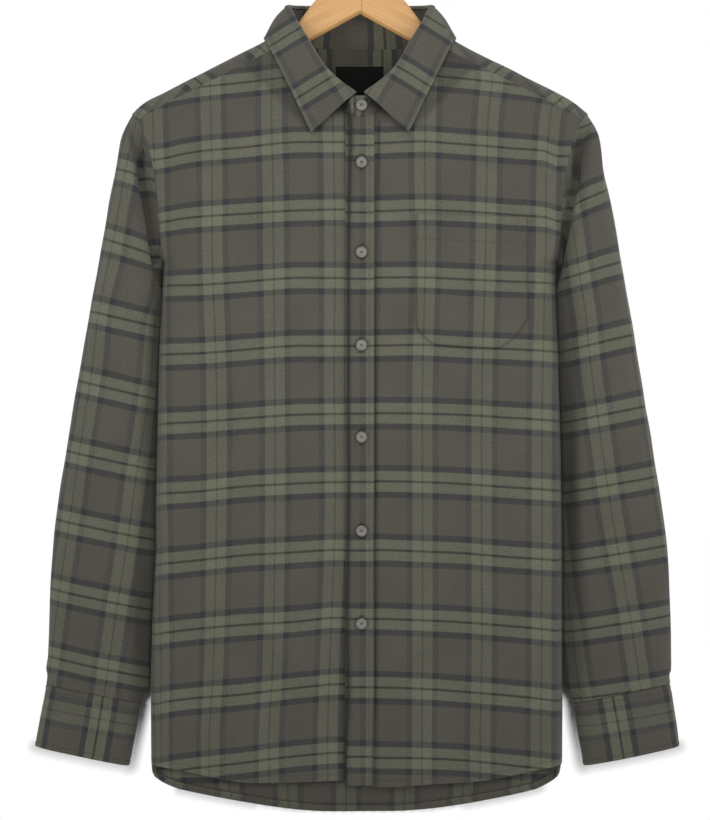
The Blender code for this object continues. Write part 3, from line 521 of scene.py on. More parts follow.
def front_plaid(x, down, side):
    """Warp and weft coordinates of a point of a front (side -1 is the wearer's right)."""
    lines = lookup(RIGHT_WARP if side < 0 else LEFT_WARP, down)[1:]
    warp = spread(-side * x, [-place for place in lines], WARP_REPEAT)
    levels = lookup(RIGHT_WEFT if side < 0 else LEFT_WEFT, side * x)[1:]
    return warp, spread(down, levels, WEFT_REPEAT)


def side_levels(x):
    """Levels of the weft lines at the side seams, run across the back."""
    share = clamp((x + 205.0) / 410.0, 0.0, 1.0)
    return [a + (b - a) * share for a, b in zip(RIGHT_WEFT[-1][1:], LEFT_WEFT[-1][1:])]


def corner_extra(points, free=8.0, outer_first=True):
    """Cloth that goes round the body's side: the length walked there beyond the distance seen in front."""
    grid = points if not outer_first else points[:, ::-1]
    steps = np.diff(grid, axis=1)
    extra = np.cumsum(np.hypot(steps[..., 0], steps[..., 1]) - np.abs(steps[..., 0]), axis=1)
    extra = np.concatenate([np.zeros((len(grid), 1)), extra], axis=1)
    distance = np.abs(grid[:, -1:, 0]) - np.abs(grid[..., 0])
    start = np.array([np.interp(free, distance[row, ::-1], extra[row, ::-1]) for row in range(len(grid))])
    extra = np.maximum(extra - start[:, None], 0.0)
    return extra if not outer_first else extra[:, ::-1]


print("repeats:", WARP_REPEAT, "x", WEFT_REPEAT, "mm")

# %% [markdown]
# ## Fronts and back
# The fronts and the back are one layer of cloth with a narrow turned hem. Creases are soft and few: the
# shirt hangs nearly flat, with a drag line from each armhole and slack near the hem. A panel could be cut
# from a plain square grid, but then the hem's curve would cross its rows. Here the rows follow the hem
# and straighten towards the yoke, so the turned hem keeps one width.

# %% Grid of a body panel
HEM_STEPS = (0.0, 0.7, 1.6, 2.8, 4.2, 5.6, 6.4, 7.0, 7.6, 8.4, 10.0, 12.5, 16.0)
HEM_TO_PIT = 516.0
# Cloth round the body's side: a quarter of an oval, CORNER wide and about 44 mm deep.
CORNER_WALK = math.pi / 2 * math.sqrt((CORNER**2 + 44.0**2) / 2)
# The side seams as they hang: level, then how far outwards of an even hang.
EDGE_DRIFT = {
    -1: ((250, 0.0), (340, 1.5), (470, 1.4), (560, 0.8), (600, 2.0), (635, 3.6), (680, 4.6), (900, 4.6)),
    1: ((250, 0.0), (340, -1.2), (470, -1.2), (640, -1.6), (700, -2.0), (900, -2.0)),
}


def edge_drift(side, down):
    return read_column(EDGE_DRIFT[side], down)


def panel_grid(side, inner_x, point, top, hem, corner_columns, flat_columns, high_rows, low_step=4.2):
    """Rows from the hem to the top, columns from the outer edge inwards."""
    pit = SLEEVE[0][3]
    outer_x = edge(pit)[0]
    top_outer = outer_x
    for _ in range(40):
        top_outer = 0.5 * top_outer + 0.5 * edge(top(top_outer))[0]
    plan = []
    for index in range(corner_columns):
        share = index / corner_columns
        plan.append((CORNER * (1.0 - math.cos(share * math.pi / 2)), CORNER_WALK * share))
    for index in range(flat_columns + 1):
        distance = CORNER + (outer_x - CORNER - inner_x) * index / flat_columns
        plan.append((distance, CORNER_WALK + distance - CORNER))
    rows, height = [], []
    steps = list(HEM_STEPS)
    while steps[-1] < HEM_TO_PIT:
        steps.append(steps[-1] + low_step)
    for step in steps[:-1]:
        row = []
        for distance, length in plan:
            bottom = hem(length)
            down = bottom + (pit - bottom) * step / steps[-1]
            width = body_at(down)[1]
            x = inner_x + (width - inner_x) * (outer_x - distance - inner_x) / (outer_x - inner_x)
            row.append(point(side * (width - distance if distance <= CORNER else x), down))
        rows.append(row)
        height.append(step)
    for index in range(high_rows + 1):
        share = index / high_rows
        outer_down = pit + (top(top_outer) - pit) * share
        bow = edge(outer_down)[0] - (outer_x + (top_outer - outer_x) * share)
        row = []
        for distance, _ in plan:
            inward = clamp((distance - CORNER) / (outer_x - CORNER - inner_x), 0.0, 1.0)
            top_x = top_outer - distance - (top_outer - outer_x) * inward
            x = outer_x - distance + (top_x - outer_x + distance) * share + bow * (1.0 - inward) ** 2
            row.append(point(side * x, pit + (top(top_x) - pit) * share))
        rows.append(row)
        height.append(HEM_TO_PIT + (pit - top(120.0)) * share)
    grid = np.array(rows, float)
    grid[..., 0] += side * edge_drift(side, grid[..., 2]) * smooth_step((np.abs(grid[..., 0]) - 140.0) / 60.0)
    return grid, np.array(height)


# Creases of the fronts: x0, down0, x1, down1, depth, width.
FRONT_CREASES = (
    (-196, 95, -190, 300, 1.1, 5), (-183, 110, -178, 330, -0.8, 6),
    (-150, 60, -196, 135, 0.5, 7), (-204, 268, -120, 330, 0.5, 8),
    (-205, 300, -140, 420, -0.5, 10), (-60, 110, -40, 330, 0.5, 10),
    (-120, 360, -100, 640, 0.8, 12), (-40, 420, -56, 720, 0.7, 11),
    (-175, 520, -160, 790, -0.8, 10), (-128, 600, -138, 800, 0.8, 9),
    (-80, 700, -76, 810, -0.7, 9),
    (190, 84, 197, 190, 1.3, 3.2), (182, 90, 188, 240, -0.8, 6),
    (205, 262, 130, 310, 0.6, 7), (206, 280, 165, 420, -0.5, 9),
    (60, 120, 45, 340, 0.4, 9), (100, 380, 88, 640, 0.8, 12),
    (160, 420, 172, 700, -0.7, 12), (52, 560, 60, 800, 0.7, 9),
    (120, 640, 128, 800, -0.8, 9), (180, 600, 176, 790, 0.7, 8),
)


def front_relief(x, down):
    """Creases and unevenness of the fronts, held still along the centre, where the buttons are."""
    still = smooth_step((np.abs(x) - 14.0) / 22.0)
    return (creases(x, down, FRONT_CREASES) + ripple(x, down, 4)) * still


def under_placket(x, down):
    """The right front sinks a little beside the placket's free edge, most near the hem."""
    sink = 0.7 + 2.1 * smooth_step((down - 590.0) / 60.0)
    return -sink * np.exp(-((x + 16.5) / 4.0) ** 2) * smooth_step((down - 118.0) / 30.0)


# Narrow gaps that get painted shade. Beside the placket: level, x of the gap at its free edge, and of the one
# at its sewn edge.
PLACKET_GAPS = (
    (100.0, -11.0, 18.5), (148.0, -9.9, 18.6), (204.0, -11.2, 17.0), (275.0, -11.8, 16.2),
    (347.0, -11.8, 16.0), (418.0, -12.0, 15.8), (490.0, -11.4, 15.6), (561.0, -12.3, 14.8),
    (632.0, -13.1, 14.9), (704.0, -12.3, 15.4), (765.0, -14.3, 13.6), (810.0, -14.8, 13.2),
)
# Under the collar's front edges: x and level at the neck, x and level at the point.
LEAF_ENDS = ((-6.1, 94.6, -48.8, 135.3), (7.2, 94.6, 50.2, 135.3))


# Painted shade in the narrow gaps at both edges of the placket.
def placket_gap_shade(x, down):
    free, sewn = (read_column(PLACKET_GAPS, down, column) for column in (1, 2))
    wide = 2.4 + 1.1 * smooth_step((170.0 - down) / 30.0) + 1.0 * np.exp(-((down - 704.0) / 35.0) ** 2)
    painted_shade = 0.74 * np.exp(-((x - free) / wide) ** 2)
    return painted_shade + 0.55 * np.exp(-((x - sewn) / 1.7) ** 2) * smooth_step((down - 118.0) / 12.0)


def painted_shade_under_leaf(x, down):
    """Shade below the front edges of the collar, deepest where the leaf leaves the stand."""
    painted_shade = np.zeros_like(x)
    for x0, down0, x1, down1 in LEAF_ENDS:
        run = np.array((x1 - x0, down1 - down0))
        length = np.hypot(*run)
        along = ((x - x0) * run[0] + (down - down0) * run[1]) / length**2
        away = abs(run[0]) / length * (down - down0) - run[1] / length * (x - x0) * np.sign(run[0])
        strength = 0.35 + 0.6 * smooth_step((0.66 - along) / 0.4)
        near = smooth_step((0.62 - along) / 0.4)
        reach, even = 2.4 + (4.0 if x0 < 0 else 2.0) * near, (7.0 if x0 < 0 else 4.5) * near
        inside = smooth_step((along + 0.05) / 0.15) * smooth_step((1.08 - along) / 0.12)
        painted_shade = np.maximum(painted_shade, strength * inside * np.exp(-np.maximum(away - even, 0.0) / reach))
    return painted_shade * smooth_step((np.abs(x + 1.0) - 7.5) / 4.5)


def painted_button_rings(x, down, centres):
    """Painted shade: the dark ring of the gap under each button's rim."""
    away = np.min([np.hypot(x - centre_x, down - level) for centre_x, level in centres], axis=0)
    return 0.55 * np.exp(-(np.maximum(away - 5.6, 0.0) / 1.5) ** 2)


def panel_relief(points, height, field, seed):
    """The relief of a body panel, with its hem and with its sewn edges held in place."""
    outer = walk(points, 1)
    top = walk(points[::-1], 0)[::-1]
    hold = smooth_step(outer / 14.0) * smooth_step(top / 12.0)
    up = np.broadcast_to(height[:, None], outer.shape)
    hem = seam_groove(up, HEM_ROW) + soft_edge(up) + pucker(outer, up - HEM_ROW, seed, 0.35, 7.0)
    hem += 1.1 * np.sin(outer / 23.0 + seed) * np.sin(outer / 61.0 + 1.3) * np.exp(-up / 45.0)
    return field * hold + hem * smooth_step(outer / 8.0)


# How far each front's hem hangs below its even curve: length from the side seam, drop.
HEM_HANG = {
    -1: ((0, 0.0), (60, -1.0), (93, -2.4), (132, -1.6), (180, -3.0), (229, -4.2), (400, -4.2)),
    1: ((0, 0.0), (60, -1.0), (101, -3.2), (132, -2.2), (162, -0.6), (203, 2.5), (235, 1.5), (400, 0.5)),
}


def hung_front_hem(side, length):
    """The front's hem as it hangs, drawn up a little near its corner."""
    drawn = 3.6 * smooth_step(length / 30.0) * math.exp(-((length - 58.0) / 28.0) ** 2)
    return front_hem(length) - drawn + lookup(HEM_HANG[side], length)[1]


def hung_back_hem(length):
    """The back's hem as it hangs, dropped a little near its corner."""
    fade = math.exp(-(max(length - 30.0, 0.0) / 60.0) ** 2)
    return back_hem(length) + 8.0 * smooth_step(length / 16.0) * fade


def tucked_top(x):
    """Upper edge of a front, reaching a little under the yoke."""
    return front_top(x) - 0.9


print("cloth round the body's side:", round(CORNER_WALK, 1), "mm")

# %% Right and left front
for word, side, inner in (("right", -1, -RIGHT_FRONT_LAP), ("left", 1, LEFT_FRONT_EDGE)):
    hem_line = functools.partial(hung_front_hem, side)
    grid, height = panel_grid(side, inner, front_point, tucked_top, hem_line, 14, 60, 56)
    plaid = np.array([[front_plaid(p[0], p[2], side) for p in row] for row in grid])
    plaid[..., 0] -= corner_extra(grid)
    relief = panel_relief(grid, height, front_relief(grid[..., 0], grid[..., 2]), 11 + side)
    if side < 0:
        relief += under_placket(grid[..., 0], grid[..., 2])
    # Painted shade beside the placket and under the collar.
    painted_shade = placket_gap_shade(grid[..., 0], grid[..., 2]) + painted_shade_under_leaf(grid[..., 0], grid[..., 2])
    front = cloth(f"cloth_{word}_front", grid, plaid, 1.0, relief, toward=(0, -1, 0), turned=8, painted_shade=painted_shade)
    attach(front, "root")
    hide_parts(f"{word}_front")

# %% Back
BACK_CREASES = (
    (-150, 160, -170, 330, 1.4, 9), (150, 155, 172, 345, 1.4, 9),
    (-95, 145, -85, 460, 1.6, 13), (92, 145, 80, 430, 1.6, 13),
    (-40, 170, -48, 560, -1.2, 14), (30, 160, 42, 600, -1.2, 15),
    (-200, 275, -120, 350, 1, 9), (200, 272, 128, 360, 1, 9),
    (-130, 420, -150, 760, -1.6, 17), (128, 440, 140, 770, -1.6, 17),
    (-75, 520, -66, 830, 1.8, 15), (82, 500, 70, 820, 1.8, 15),
    (6, 480, -6, 835, 1.2, 13), (-178, 560, -184, 770, 1, 9),
    (176, 580, 184, 780, 1, 9),
)


# Warp lines of the back: distance of the middle one from the centre, and their spacing.
BACK_WARP = (14.3, 61.2)
# The front view looks from this level. The back lies further off, so it reaches a little further down
# than the fronts where both are seen at one level.
EYE_DOWN, BACK_REACH = 418.2, 1.031


def back_top(_):
    return YOKE_BACK_DOWN + SEAM / 2


halves = [panel_grid(side, 0.0, back_point, back_top, hung_back_hem, 14, 56, 30) for side in (-1, 1)]
height = halves[0][1]
grid = np.concatenate([halves[0][0], halves[1][0][:, -2::-1]], axis=1)
x, down = grid[..., 0], grid[..., 2]
plaid = np.array([[((p[0] + BACK_WARP[0]) / BACK_WARP[1] * WARP_REPEAT,
                    spread(p[2], side_levels(p[0]), WEFT_REPEAT)) for p in row] for row in grid])
middle = halves[0][0].shape[1] - 1
plaid[:, :middle + 1, 0] -= corner_extra(halves[0][0], CORNER)
plaid[:, middle:, 0] += corner_extra(halves[1][0], CORNER)[:, ::-1]
around = walk(grid, 1)
outer = np.minimum(around, around[:, -1:] - around)
top = walk(grid[::-1], 0)[::-1]
up = np.broadcast_to(height[:, None], outer.shape)
relief = creases(x, down, BACK_CREASES) + ripple(x, down, 8, 1.6)
relief = relief * smooth_step(outer / 14.0) * smooth_step(top / 12.0)
hem = seam_groove(up, HEM_ROW) + soft_edge(up) + pucker(around, up - HEM_ROW, 21, 0.4, 8.0)
hem += 1.4 * np.sin(around / 27.0) * np.sin(around / 71.0 + 0.7) * np.exp(-up / 50.0)
# Inside, painted shade darkens the back along and just below the fronts' hems, where the view of it ends, and
# painted light brightens it below that, for the light that bounces up below them.
walk_in = CORNER_WALK - CORNER
ends = []
for place in grid[0, :, 0]:
    length = walk_in + max(body_at(800.0)[1] - abs(place), 0.0)
    level = hung_front_hem(1 if place > 0 else -1, length) if abs(place) > 14.0 else front_hem(400.0) + 0.5
    ends.append(EYE_DOWN + BACK_REACH * (level - EYE_DOWN))
below = down - np.array(ends)
near_hem = smooth_step((below + 12.0) / 8.0)
lift = 0.22 + 0.1 * smooth_step((np.abs(x) - 110.0) / 40.0)
inside_painted_light_and_shade = near_hem * (0.62 * np.exp(-np.maximum(below, 0.0) / 2.2) - lift)
back = cloth("cloth_back", grid, plaid, 1.0, relief + hem * smooth_step(outer / 8.0), toward=(0, 1, 0),
             turned=8, inside_painted_light_and_shade=inside_painted_light_and_shade)
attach(back, "root")
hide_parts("back")

# %% [markdown]
# ## Yoke
# The yoke goes over both shoulders and is cut crosswise, so its strong weft stripes run from front to
# back. It is one flat piece folded over the sloping shoulders: stripes that stand upright on the back
# come down the front at a slant, towards the neck. Its front edges lie a little in front of the fold.
# Unwrapping the finished shape would give almost the same stripes; a few sums give them exactly.


# %% Yoke
# Where the columns from the front's neck corner and from the neck's side end, along the back seam.
FRONT_END_X, NECK_END_X = 108.0, 86.0


def armhole_x(girth):
    x = SLEEVE[0][1]
    for _ in range(40):
        x = 0.5 * x + 0.5 * edge(ridge(x) + girth_drop(girth))[0]
    return x


def neck_corner(walked):
    x = YOKE_FRONT_X + (NECK_HALF - YOKE_FRONT_X) * math.cos(walked * math.pi / 2)
    return x, drop_girth(-YOKE_FRONT_DROP) * walked


def yoke_columns():
    front_girth = drop_girth(-(YOKE_FRONT_DROP - SEAM / 2))
    first, last = armhole_x(front_girth), edge(YOKE_BACK_DOWN - SEAM / 2)[0]
    columns = []
    for index in range(12):
        distance = CORNER * (1.0 - math.cos(index / 12 * math.pi / 2))
        columns.append((first - distance, front_girth, last - distance, 1.0))
    flat_first, flat_last = first - CORNER, last - CORNER
    for index in range(40):
        share = index / 39
        start_x = flat_first + (YOKE_FRONT_X - flat_first) * share
        end_x = flat_last + (FRONT_END_X - flat_last) * share
        columns.append((start_x, front_girth, end_x, (1 - share) ** 2))
    for index in range(6):
        walked = 1.0 - (index + 1) / 6
        x, girth = neck_corner(walked)
        columns.append((x, girth, NECK_END_X + (FRONT_END_X - NECK_END_X) * walked, 0.0))
    for index in range(1, 25):
        x = NECK_HALF * math.cos(index / 24 * math.pi / 2)
        columns.append((x, drop_girth(back_neckline(x) - ridge(x)), NECK_END_X * (1.0 - index / 24), 0.0))
    return columns


back_edge = YOKE_BACK_DOWN - SEAM / 2
columns = yoke_columns()
first_x, first_girth, last_x, _ = columns[0]
last_girth = drop_girth(back_edge - ridge(last_x))
rows, plaid = [], []
bends = np.concatenate([np.linspace(0, 0.31, 17), np.linspace(0.34, 1.0, 26)])
for bend in bends:
    ease = 1.0 - (1.0 - bend) ** 2
    outer_girth = first_girth + (last_girth - first_girth) * bend
    bow = armhole_x(outer_girth) - (first_x + (last_x - first_x) * ease)
    half = []
    for start_x, start_girth, end_x, follow in columns:
        end_girth = drop_girth(back_edge - ridge(end_x))
        half.append((start_x + (end_x - start_x) * ease + bow * follow,
                     start_girth + (end_girth - start_girth) * bend))
    full = [(-x, girth) for x, girth in half] + [(x, girth) for x, girth in half[-2::-1]]
    rows.append([shoulder_point(x, girth) for x, girth in full])
    line = []
    for x, girth in full:
        drop = girth_drop(girth)
        unfolded_x = abs(x) + 0.35 * (drop - girth)
        unfolded_down = ridge(x) + 0.204 * drop + 0.796 * girth
        line.append((unfolded_down - 82.0, spread(math.copysign(unfolded_x, x), YOKE_LINES, WEFT_REPEAT)))
    plaid.append(line)
grid = np.array(rows, float)
around, over = walk(grid, 1), walk(grid, 0)
outer = np.minimum(around, around[:, -1:] - around)
inner = np.minimum(over, over[-1:] - over)
relief = ripple(grid[..., 0], around * 0.3 + over, 15, 0.8)
relief = relief * smooth_step(outer / 12.0) * smooth_step(inner / 10.0)
relief += seam_groove(inner, 5.5, 0.25) + seam_groove(outer, 5.5, 0.2) + pucker(around, inner, 31, 0.2, 7.0)
# Painted light brightens the yoke's inner face.
yoke = cloth("cloth_yoke", grid, plaid, 1.2, relief, toward=(0, 0, -1),
             inside_painted_light_and_shade=np.full(grid.shape[:2], -0.22))
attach(yoke, "root")
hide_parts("yoke")

# %% [markdown]
# ## Front placket and pocket
# Both lie on the fronts and follow their creases. The placket is a folded band of two layers with a row
# of stitches near each edge. The pocket is turned in all round and stitched close to its edge. Both could
# be raised out of the fronts' own grid, but as shells of their own they keep crisp edges.

# %% Front placket
low, high = PLACKET_EDGES
band_wide, band_long = high - low, 690.0
across = np.concatenate([[0, 0.6, 1.4, 2.6, 3.9, 4.8, 5.5, 6.2, 7.2], np.linspace(9.2, 20.3, 7),
                         [22.3, 23.3, 24.0, 24.7, 25.6, 26.9, 28.1, 28.9, band_wide]])
lengths = np.concatenate([[0, 0.6, 1.6, 3, 5, 6.3, 7, 7.7, 9], np.linspace(12, band_long, 226)])
# Levels of the weft lines on the band, which is cut apart from the left front.
BAND_LEVELS = (78.0, 148.6, 217.0, 284.6, 353.0, 422.0, 491.6, 561.5, 631.4, 701.0, 772.0)
rows, plaid = [], []
for length in lengths:
    row, line = [], []
    for step in across:
        x = low + step
        bottom, top = front_hem(400.0) + 0.5, front_neckline(x) + 0.5
        down = bottom + (top - bottom) * length / band_long
        row.append(front_point(x, down, LAY + DOUBLE))
        line.append((x - 16.8, spread(down, BAND_LEVELS, WEFT_REPEAT)))
    rows.append(row)
    plaid.append(line)
grid = np.array(rows, float)
from_edge = np.broadcast_to(np.minimum(across, band_wide - across), grid.shape[:2])
from_end = np.broadcast_to(np.minimum(lengths, band_long - lengths)[:, None], grid.shape[:2])
relief = front_relief(grid[..., 0], grid[..., 2]) + soft_edge(from_edge, 1.4)
relief = relief + seam_groove(from_edge, BAND_ROW, 0.4)
relief += 0.22 * np.exp(-((from_edge - 2.8) / 1.6) ** 2) + soft_edge(from_end)
relief += pucker(grid[..., 2], from_edge - BAND_ROW, 41, 0.3, 3.0)
# Painted shade beside the placket's edges, under the collar and round the buttons.
painted_shade = placket_gap_shade(grid[..., 0], grid[..., 2]) + painted_shade_under_leaf(grid[..., 0], grid[..., 2])
painted_shade += painted_button_rings(grid[..., 0], grid[..., 2], [(BUTTON_X, level) for level in FRONT_BUTTON_DOWNS])
placket = cloth("cloth_front_placket", grid, plaid, 1.6, relief, toward=(0, -1, 0), painted_shade=painted_shade)
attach(placket, "root")
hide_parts("front_placket")

# %% Pocket
low, high = POCKET[0][0], POCKET[-1][0]
pocket_tall = 130.0


def mouth_level(x):
    """The mouth's level, which slopes from one side of the pocket to the other."""
    return POCKET_MOUTH[0] + POCKET_MOUTH[1] * (x - POCKET[0][0]) / (POCKET[-1][0] - POCKET[0][0])


edge_steps = np.array([0, 0.5, 1.0, 1.6, 2.2, 3.0])
across = np.concatenate([low + edge_steps, np.arange(low + 5.5, high - 5.0, 2.9), (high - edge_steps)[::-1]])
shares = np.concatenate([edge_steps / pocket_tall, np.linspace(0.045, 0.78, 34), [0.795, 0.805, 0.815],
                         np.linspace(0.83, 0.98, 8), 1.0 - edge_steps[3::-1] / pocket_tall])
outline_x, outline_down = np.array(POCKET).T
fine_x = np.linspace(low, high, 160)
fine_down = np.interp(fine_x, outline_x, outline_down)
rounded = np.convolve(np.pad(fine_down, 6, mode="edge"), np.ones(13) / 13, mode="valid")
rows, plaid = [], []
for share in shares:
    row, line = [], []
    for x in across:
        bottom = np.interp(x, fine_x, rounded)
        down = bottom + (mouth_level(x) - bottom) * share
        row.append(front_point(x, down, 2.4 * LAY + CLOTH - 0.1))
        line.append(front_plaid(x, down, 1))
    rows.append(row)
    plaid.append(line)
grid = np.array(rows, float)
x, down = grid[..., 0], grid[..., 2]
sides = np.minimum(x - low, high - x)
bottom = np.interp(x, fine_x, rounded) - down
mouth = down - mouth_level(x)
sewn = np.minimum(sides, bottom)
from_edge = np.minimum(sewn, mouth)
relief = front_relief(x, down) + soft_edge(from_edge, 1.2) + seam_groove(sewn, CLOSE_ROW, 0.3)
relief += seam_groove(mouth, MOUTH_ROW, 0.3, 1.1) + pucker(x + down, sewn, 51, 0.25, 4.0)
relief += 0.35 * np.sin((x - low) / (high - low) * math.pi) * np.exp(-mouth / 25.0)
# Painted shade along the pocket's sewn edge and its row of stitches, and at its mouth and the mouth's row.
painted_shade = 0.42 * np.exp(-(sewn / 0.9) ** 2) + 0.12 * np.exp(-((sewn - CLOSE_ROW) / 0.8) ** 2)
painted_shade = np.maximum(painted_shade, 0.15 * np.exp(-(mouth / 0.7) ** 2)) + 0.08 * np.exp(-((mouth - MOUTH_ROW) / 0.8) ** 2)
pocket = cloth("cloth_pocket", grid, plaid, 1.0, relief, toward=(0, -1, 0), painted_shade=painted_shade)
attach(pocket, "root")
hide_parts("pocket")

# %% [markdown]
# ## Sleeves and cuffs
# A sleeve is one tube of cloth with its seam under the arm. It creases where it leaves the armhole and
# drags softly round the elbow. The cuffs are cut crosswise, so their strong stripes run along the arm. A
# straight tube could be bent with a lattice. Loops of points, one for each section, are used instead,
# because the length of cloth walked round a loop is what places the stripes.

# %% Sections of a sleeve
AROUND = 168


# How the arms' ends hang: outward shift of the outer and of the inner edge, at the cuff's top and bottom.
CUFF_SWING = {-1: ((4.6, 8.6), (4.7, 8.8)), 1: ((1.0, 3.4), (0.0, 1.2))}


def end_swing(side, row, t):
    """Sideways shift of a point near the arm's end; t runs from the outer edge to the inner one."""
    top, bottom = CUFF_SWING[side]
    share = clamp((row[2] - 701.0) / 64.0, 0.0, 1.0)
    outer, inner = (a + (b - a) * share for a, b in zip(top, bottom))
    return side * clamp((row[2] - 674.0) / 27.0, 0.0, 1.0) * (outer + (inner - outer) * t)


def loop_points(side, row, pit_swell=0.0):
    """One section, from its inner point over the front to its outer point and back behind."""
    points = []
    square = row[7]
    for index in range(AROUND):
        angle = math.pi - 2 * math.pi * index / AROUND
        across = math.copysign(abs(math.cos(angle)) ** (2 / square), math.cos(angle))
        t = (1.0 - across) / 2
        x, down, _ = loop_across(row, t)
        half_depth = row[5] + pit_swell * smooth_step((t - 0.6) / 0.35)
        y = half_depth * math.copysign(abs(math.sin(angle)) ** (2 / square), math.sin(angle))
        points.append((side * x + end_swing(side, row, t), -y, down))
    return np.array(points)


# Creases of the sleeves, in front and behind: distance from the centre, down, and again, depth, width.
SLEEVE_CREASES = {
    (-1, True): (
        (228.6, 122, 221.3, 196, 8, 1.9), (223.6, 168, 210.2, 252, 9, 2),
        (213.6, 228, 204.5, 290, 8, 2.6), (232, 124, 213, 285, 2, 7),
        (240, 122, 226, 250, -1.4, 5),
        (250, 150, 236, 330, 0.7, 8), (214, 290, 262, 430, 1, 9),
        (212, 340, 240, 480, -0.9, 10), (216, 430, 285, 520, 1.2, 9),
        (214, 500, 290, 575, -1, 9), (222, 560, 296, 622, 0.9, 8),
        (300, 470, 312, 660, 0.8, 8), (245, 610, 252, 712, 1, 6),
        (270, 625, 276, 712, -0.8, 6), (292, 640, 296, 708, 0.8, 5),
        (228, 650, 230, 718, -0.7, 5), (221, 540, 222, 704, 3, 9),
    ),
    (1, True): (
        (228.6, 118, 219.5, 196, 7.5, 3), (223, 165, 207, 252, 5.5, 3),
        (211, 224, 201, 290, 7.5, 2.6), (240, 118, 228, 250, -1.4, 5),
        (215, 430, 214, 704, 3, 6.5),
        (247, 122, 256, 205, 1.6, 2.2), (243, 124, 250, 200, -1.3, 2),
        (222, 280, 216, 570, 1.6, 8), (236, 260, 236, 520, -0.9, 9),
        (262, 330, 222, 450, 0.8, 9), (290, 420, 226, 520, 0.9, 9),
        (296, 520, 232, 600, -0.9, 9), (298, 590, 240, 650, 0.9, 8),
        (250, 610, 256, 712, 0.9, 6), (276, 620, 282, 712, -0.8, 6),
        (302, 630, 303, 704, 0.8, 5),
    ),
    (-1, False): (
        (236, 128, 214, 262, 2, 6), (216, 300, 268, 420, 1.2, 10),
        (214, 430, 288, 500, 1.4, 9), (220, 520, 296, 580, -1.2, 9),
        (262, 600, 266, 712, 1, 6), (288, 610, 291, 708, -0.9, 6),
    ),
    (1, False): (
        (236, 128, 214, 262, 2, 6), (218, 310, 270, 440, 1.2, 10),
        (216, 450, 286, 530, 1.4, 9), (222, 540, 294, 600, -1.2, 9),
        (258, 600, 262, 712, 1, 6), (284, 610, 287, 708, -0.9, 6),
    ),
}


def weft_level(x, down, table):
    """Weft coordinate on a sleeve, whose lines slope across it."""
    outer, reach, slope = np.array(table).T
    return spread(0.0, outer + (reach - x) * slope - down, WEFT_REPEAT)


def tube_warp(grid, table, tilt):
    """Length of cloth round each section, measured across the warp and from the table's line."""
    closed = np.concatenate([grid, grid[:, :1]], axis=1)
    steps = np.diff(closed, axis=1)
    flat = np.abs(steps[..., 0]) * tilt[1] + np.abs(steps[..., 2]) * tilt[0]
    walked = np.cumsum(np.hypot(flat, steps[..., 1]), axis=1)
    length = np.concatenate([np.zeros((len(grid), 1)), walked], axis=1)
    half = grid.shape[1] // 2
    for row in range(len(grid)):
        x, down = np.abs(grid[row, :half + 1, 0]), grid[row, :half + 1, 2]
        line = np.array([lookup(table, level)[1] for level in down])
        length[row] -= np.interp(0.0, x - line, length[row, :half + 1]) + max(line[-1] - x[-1], 0.0)
    return length


# Shade beside the body: level, share of light lost, how far it stays even, how far it reaches.
SLEEVE_SHADE = {
    -1: ((225, 0.0, 2, 12), (262, 0.3, 2, 12), (326, 0.5, 2, 14), (400, 0.3, 5, 18), (495, 0.26, 8, 20),
         (642, 0.36, 12, 28), (712, 0.25, 12, 28), (730, 0.0, 12, 28)),
    1: ((215, 0.0, 6, 20), (250, 0.25, 6, 20), (326, 0.32, 12, 26), (420, 0.52, 8, 22), (495, 0.66, 7, 22),
        (570, 0.46, 12, 26), (642, 0.36, 14, 32), (712, 0.38, 14, 32), (730, 0.2, 14, 32)),
}
print("points round a sleeve:", AROUND)


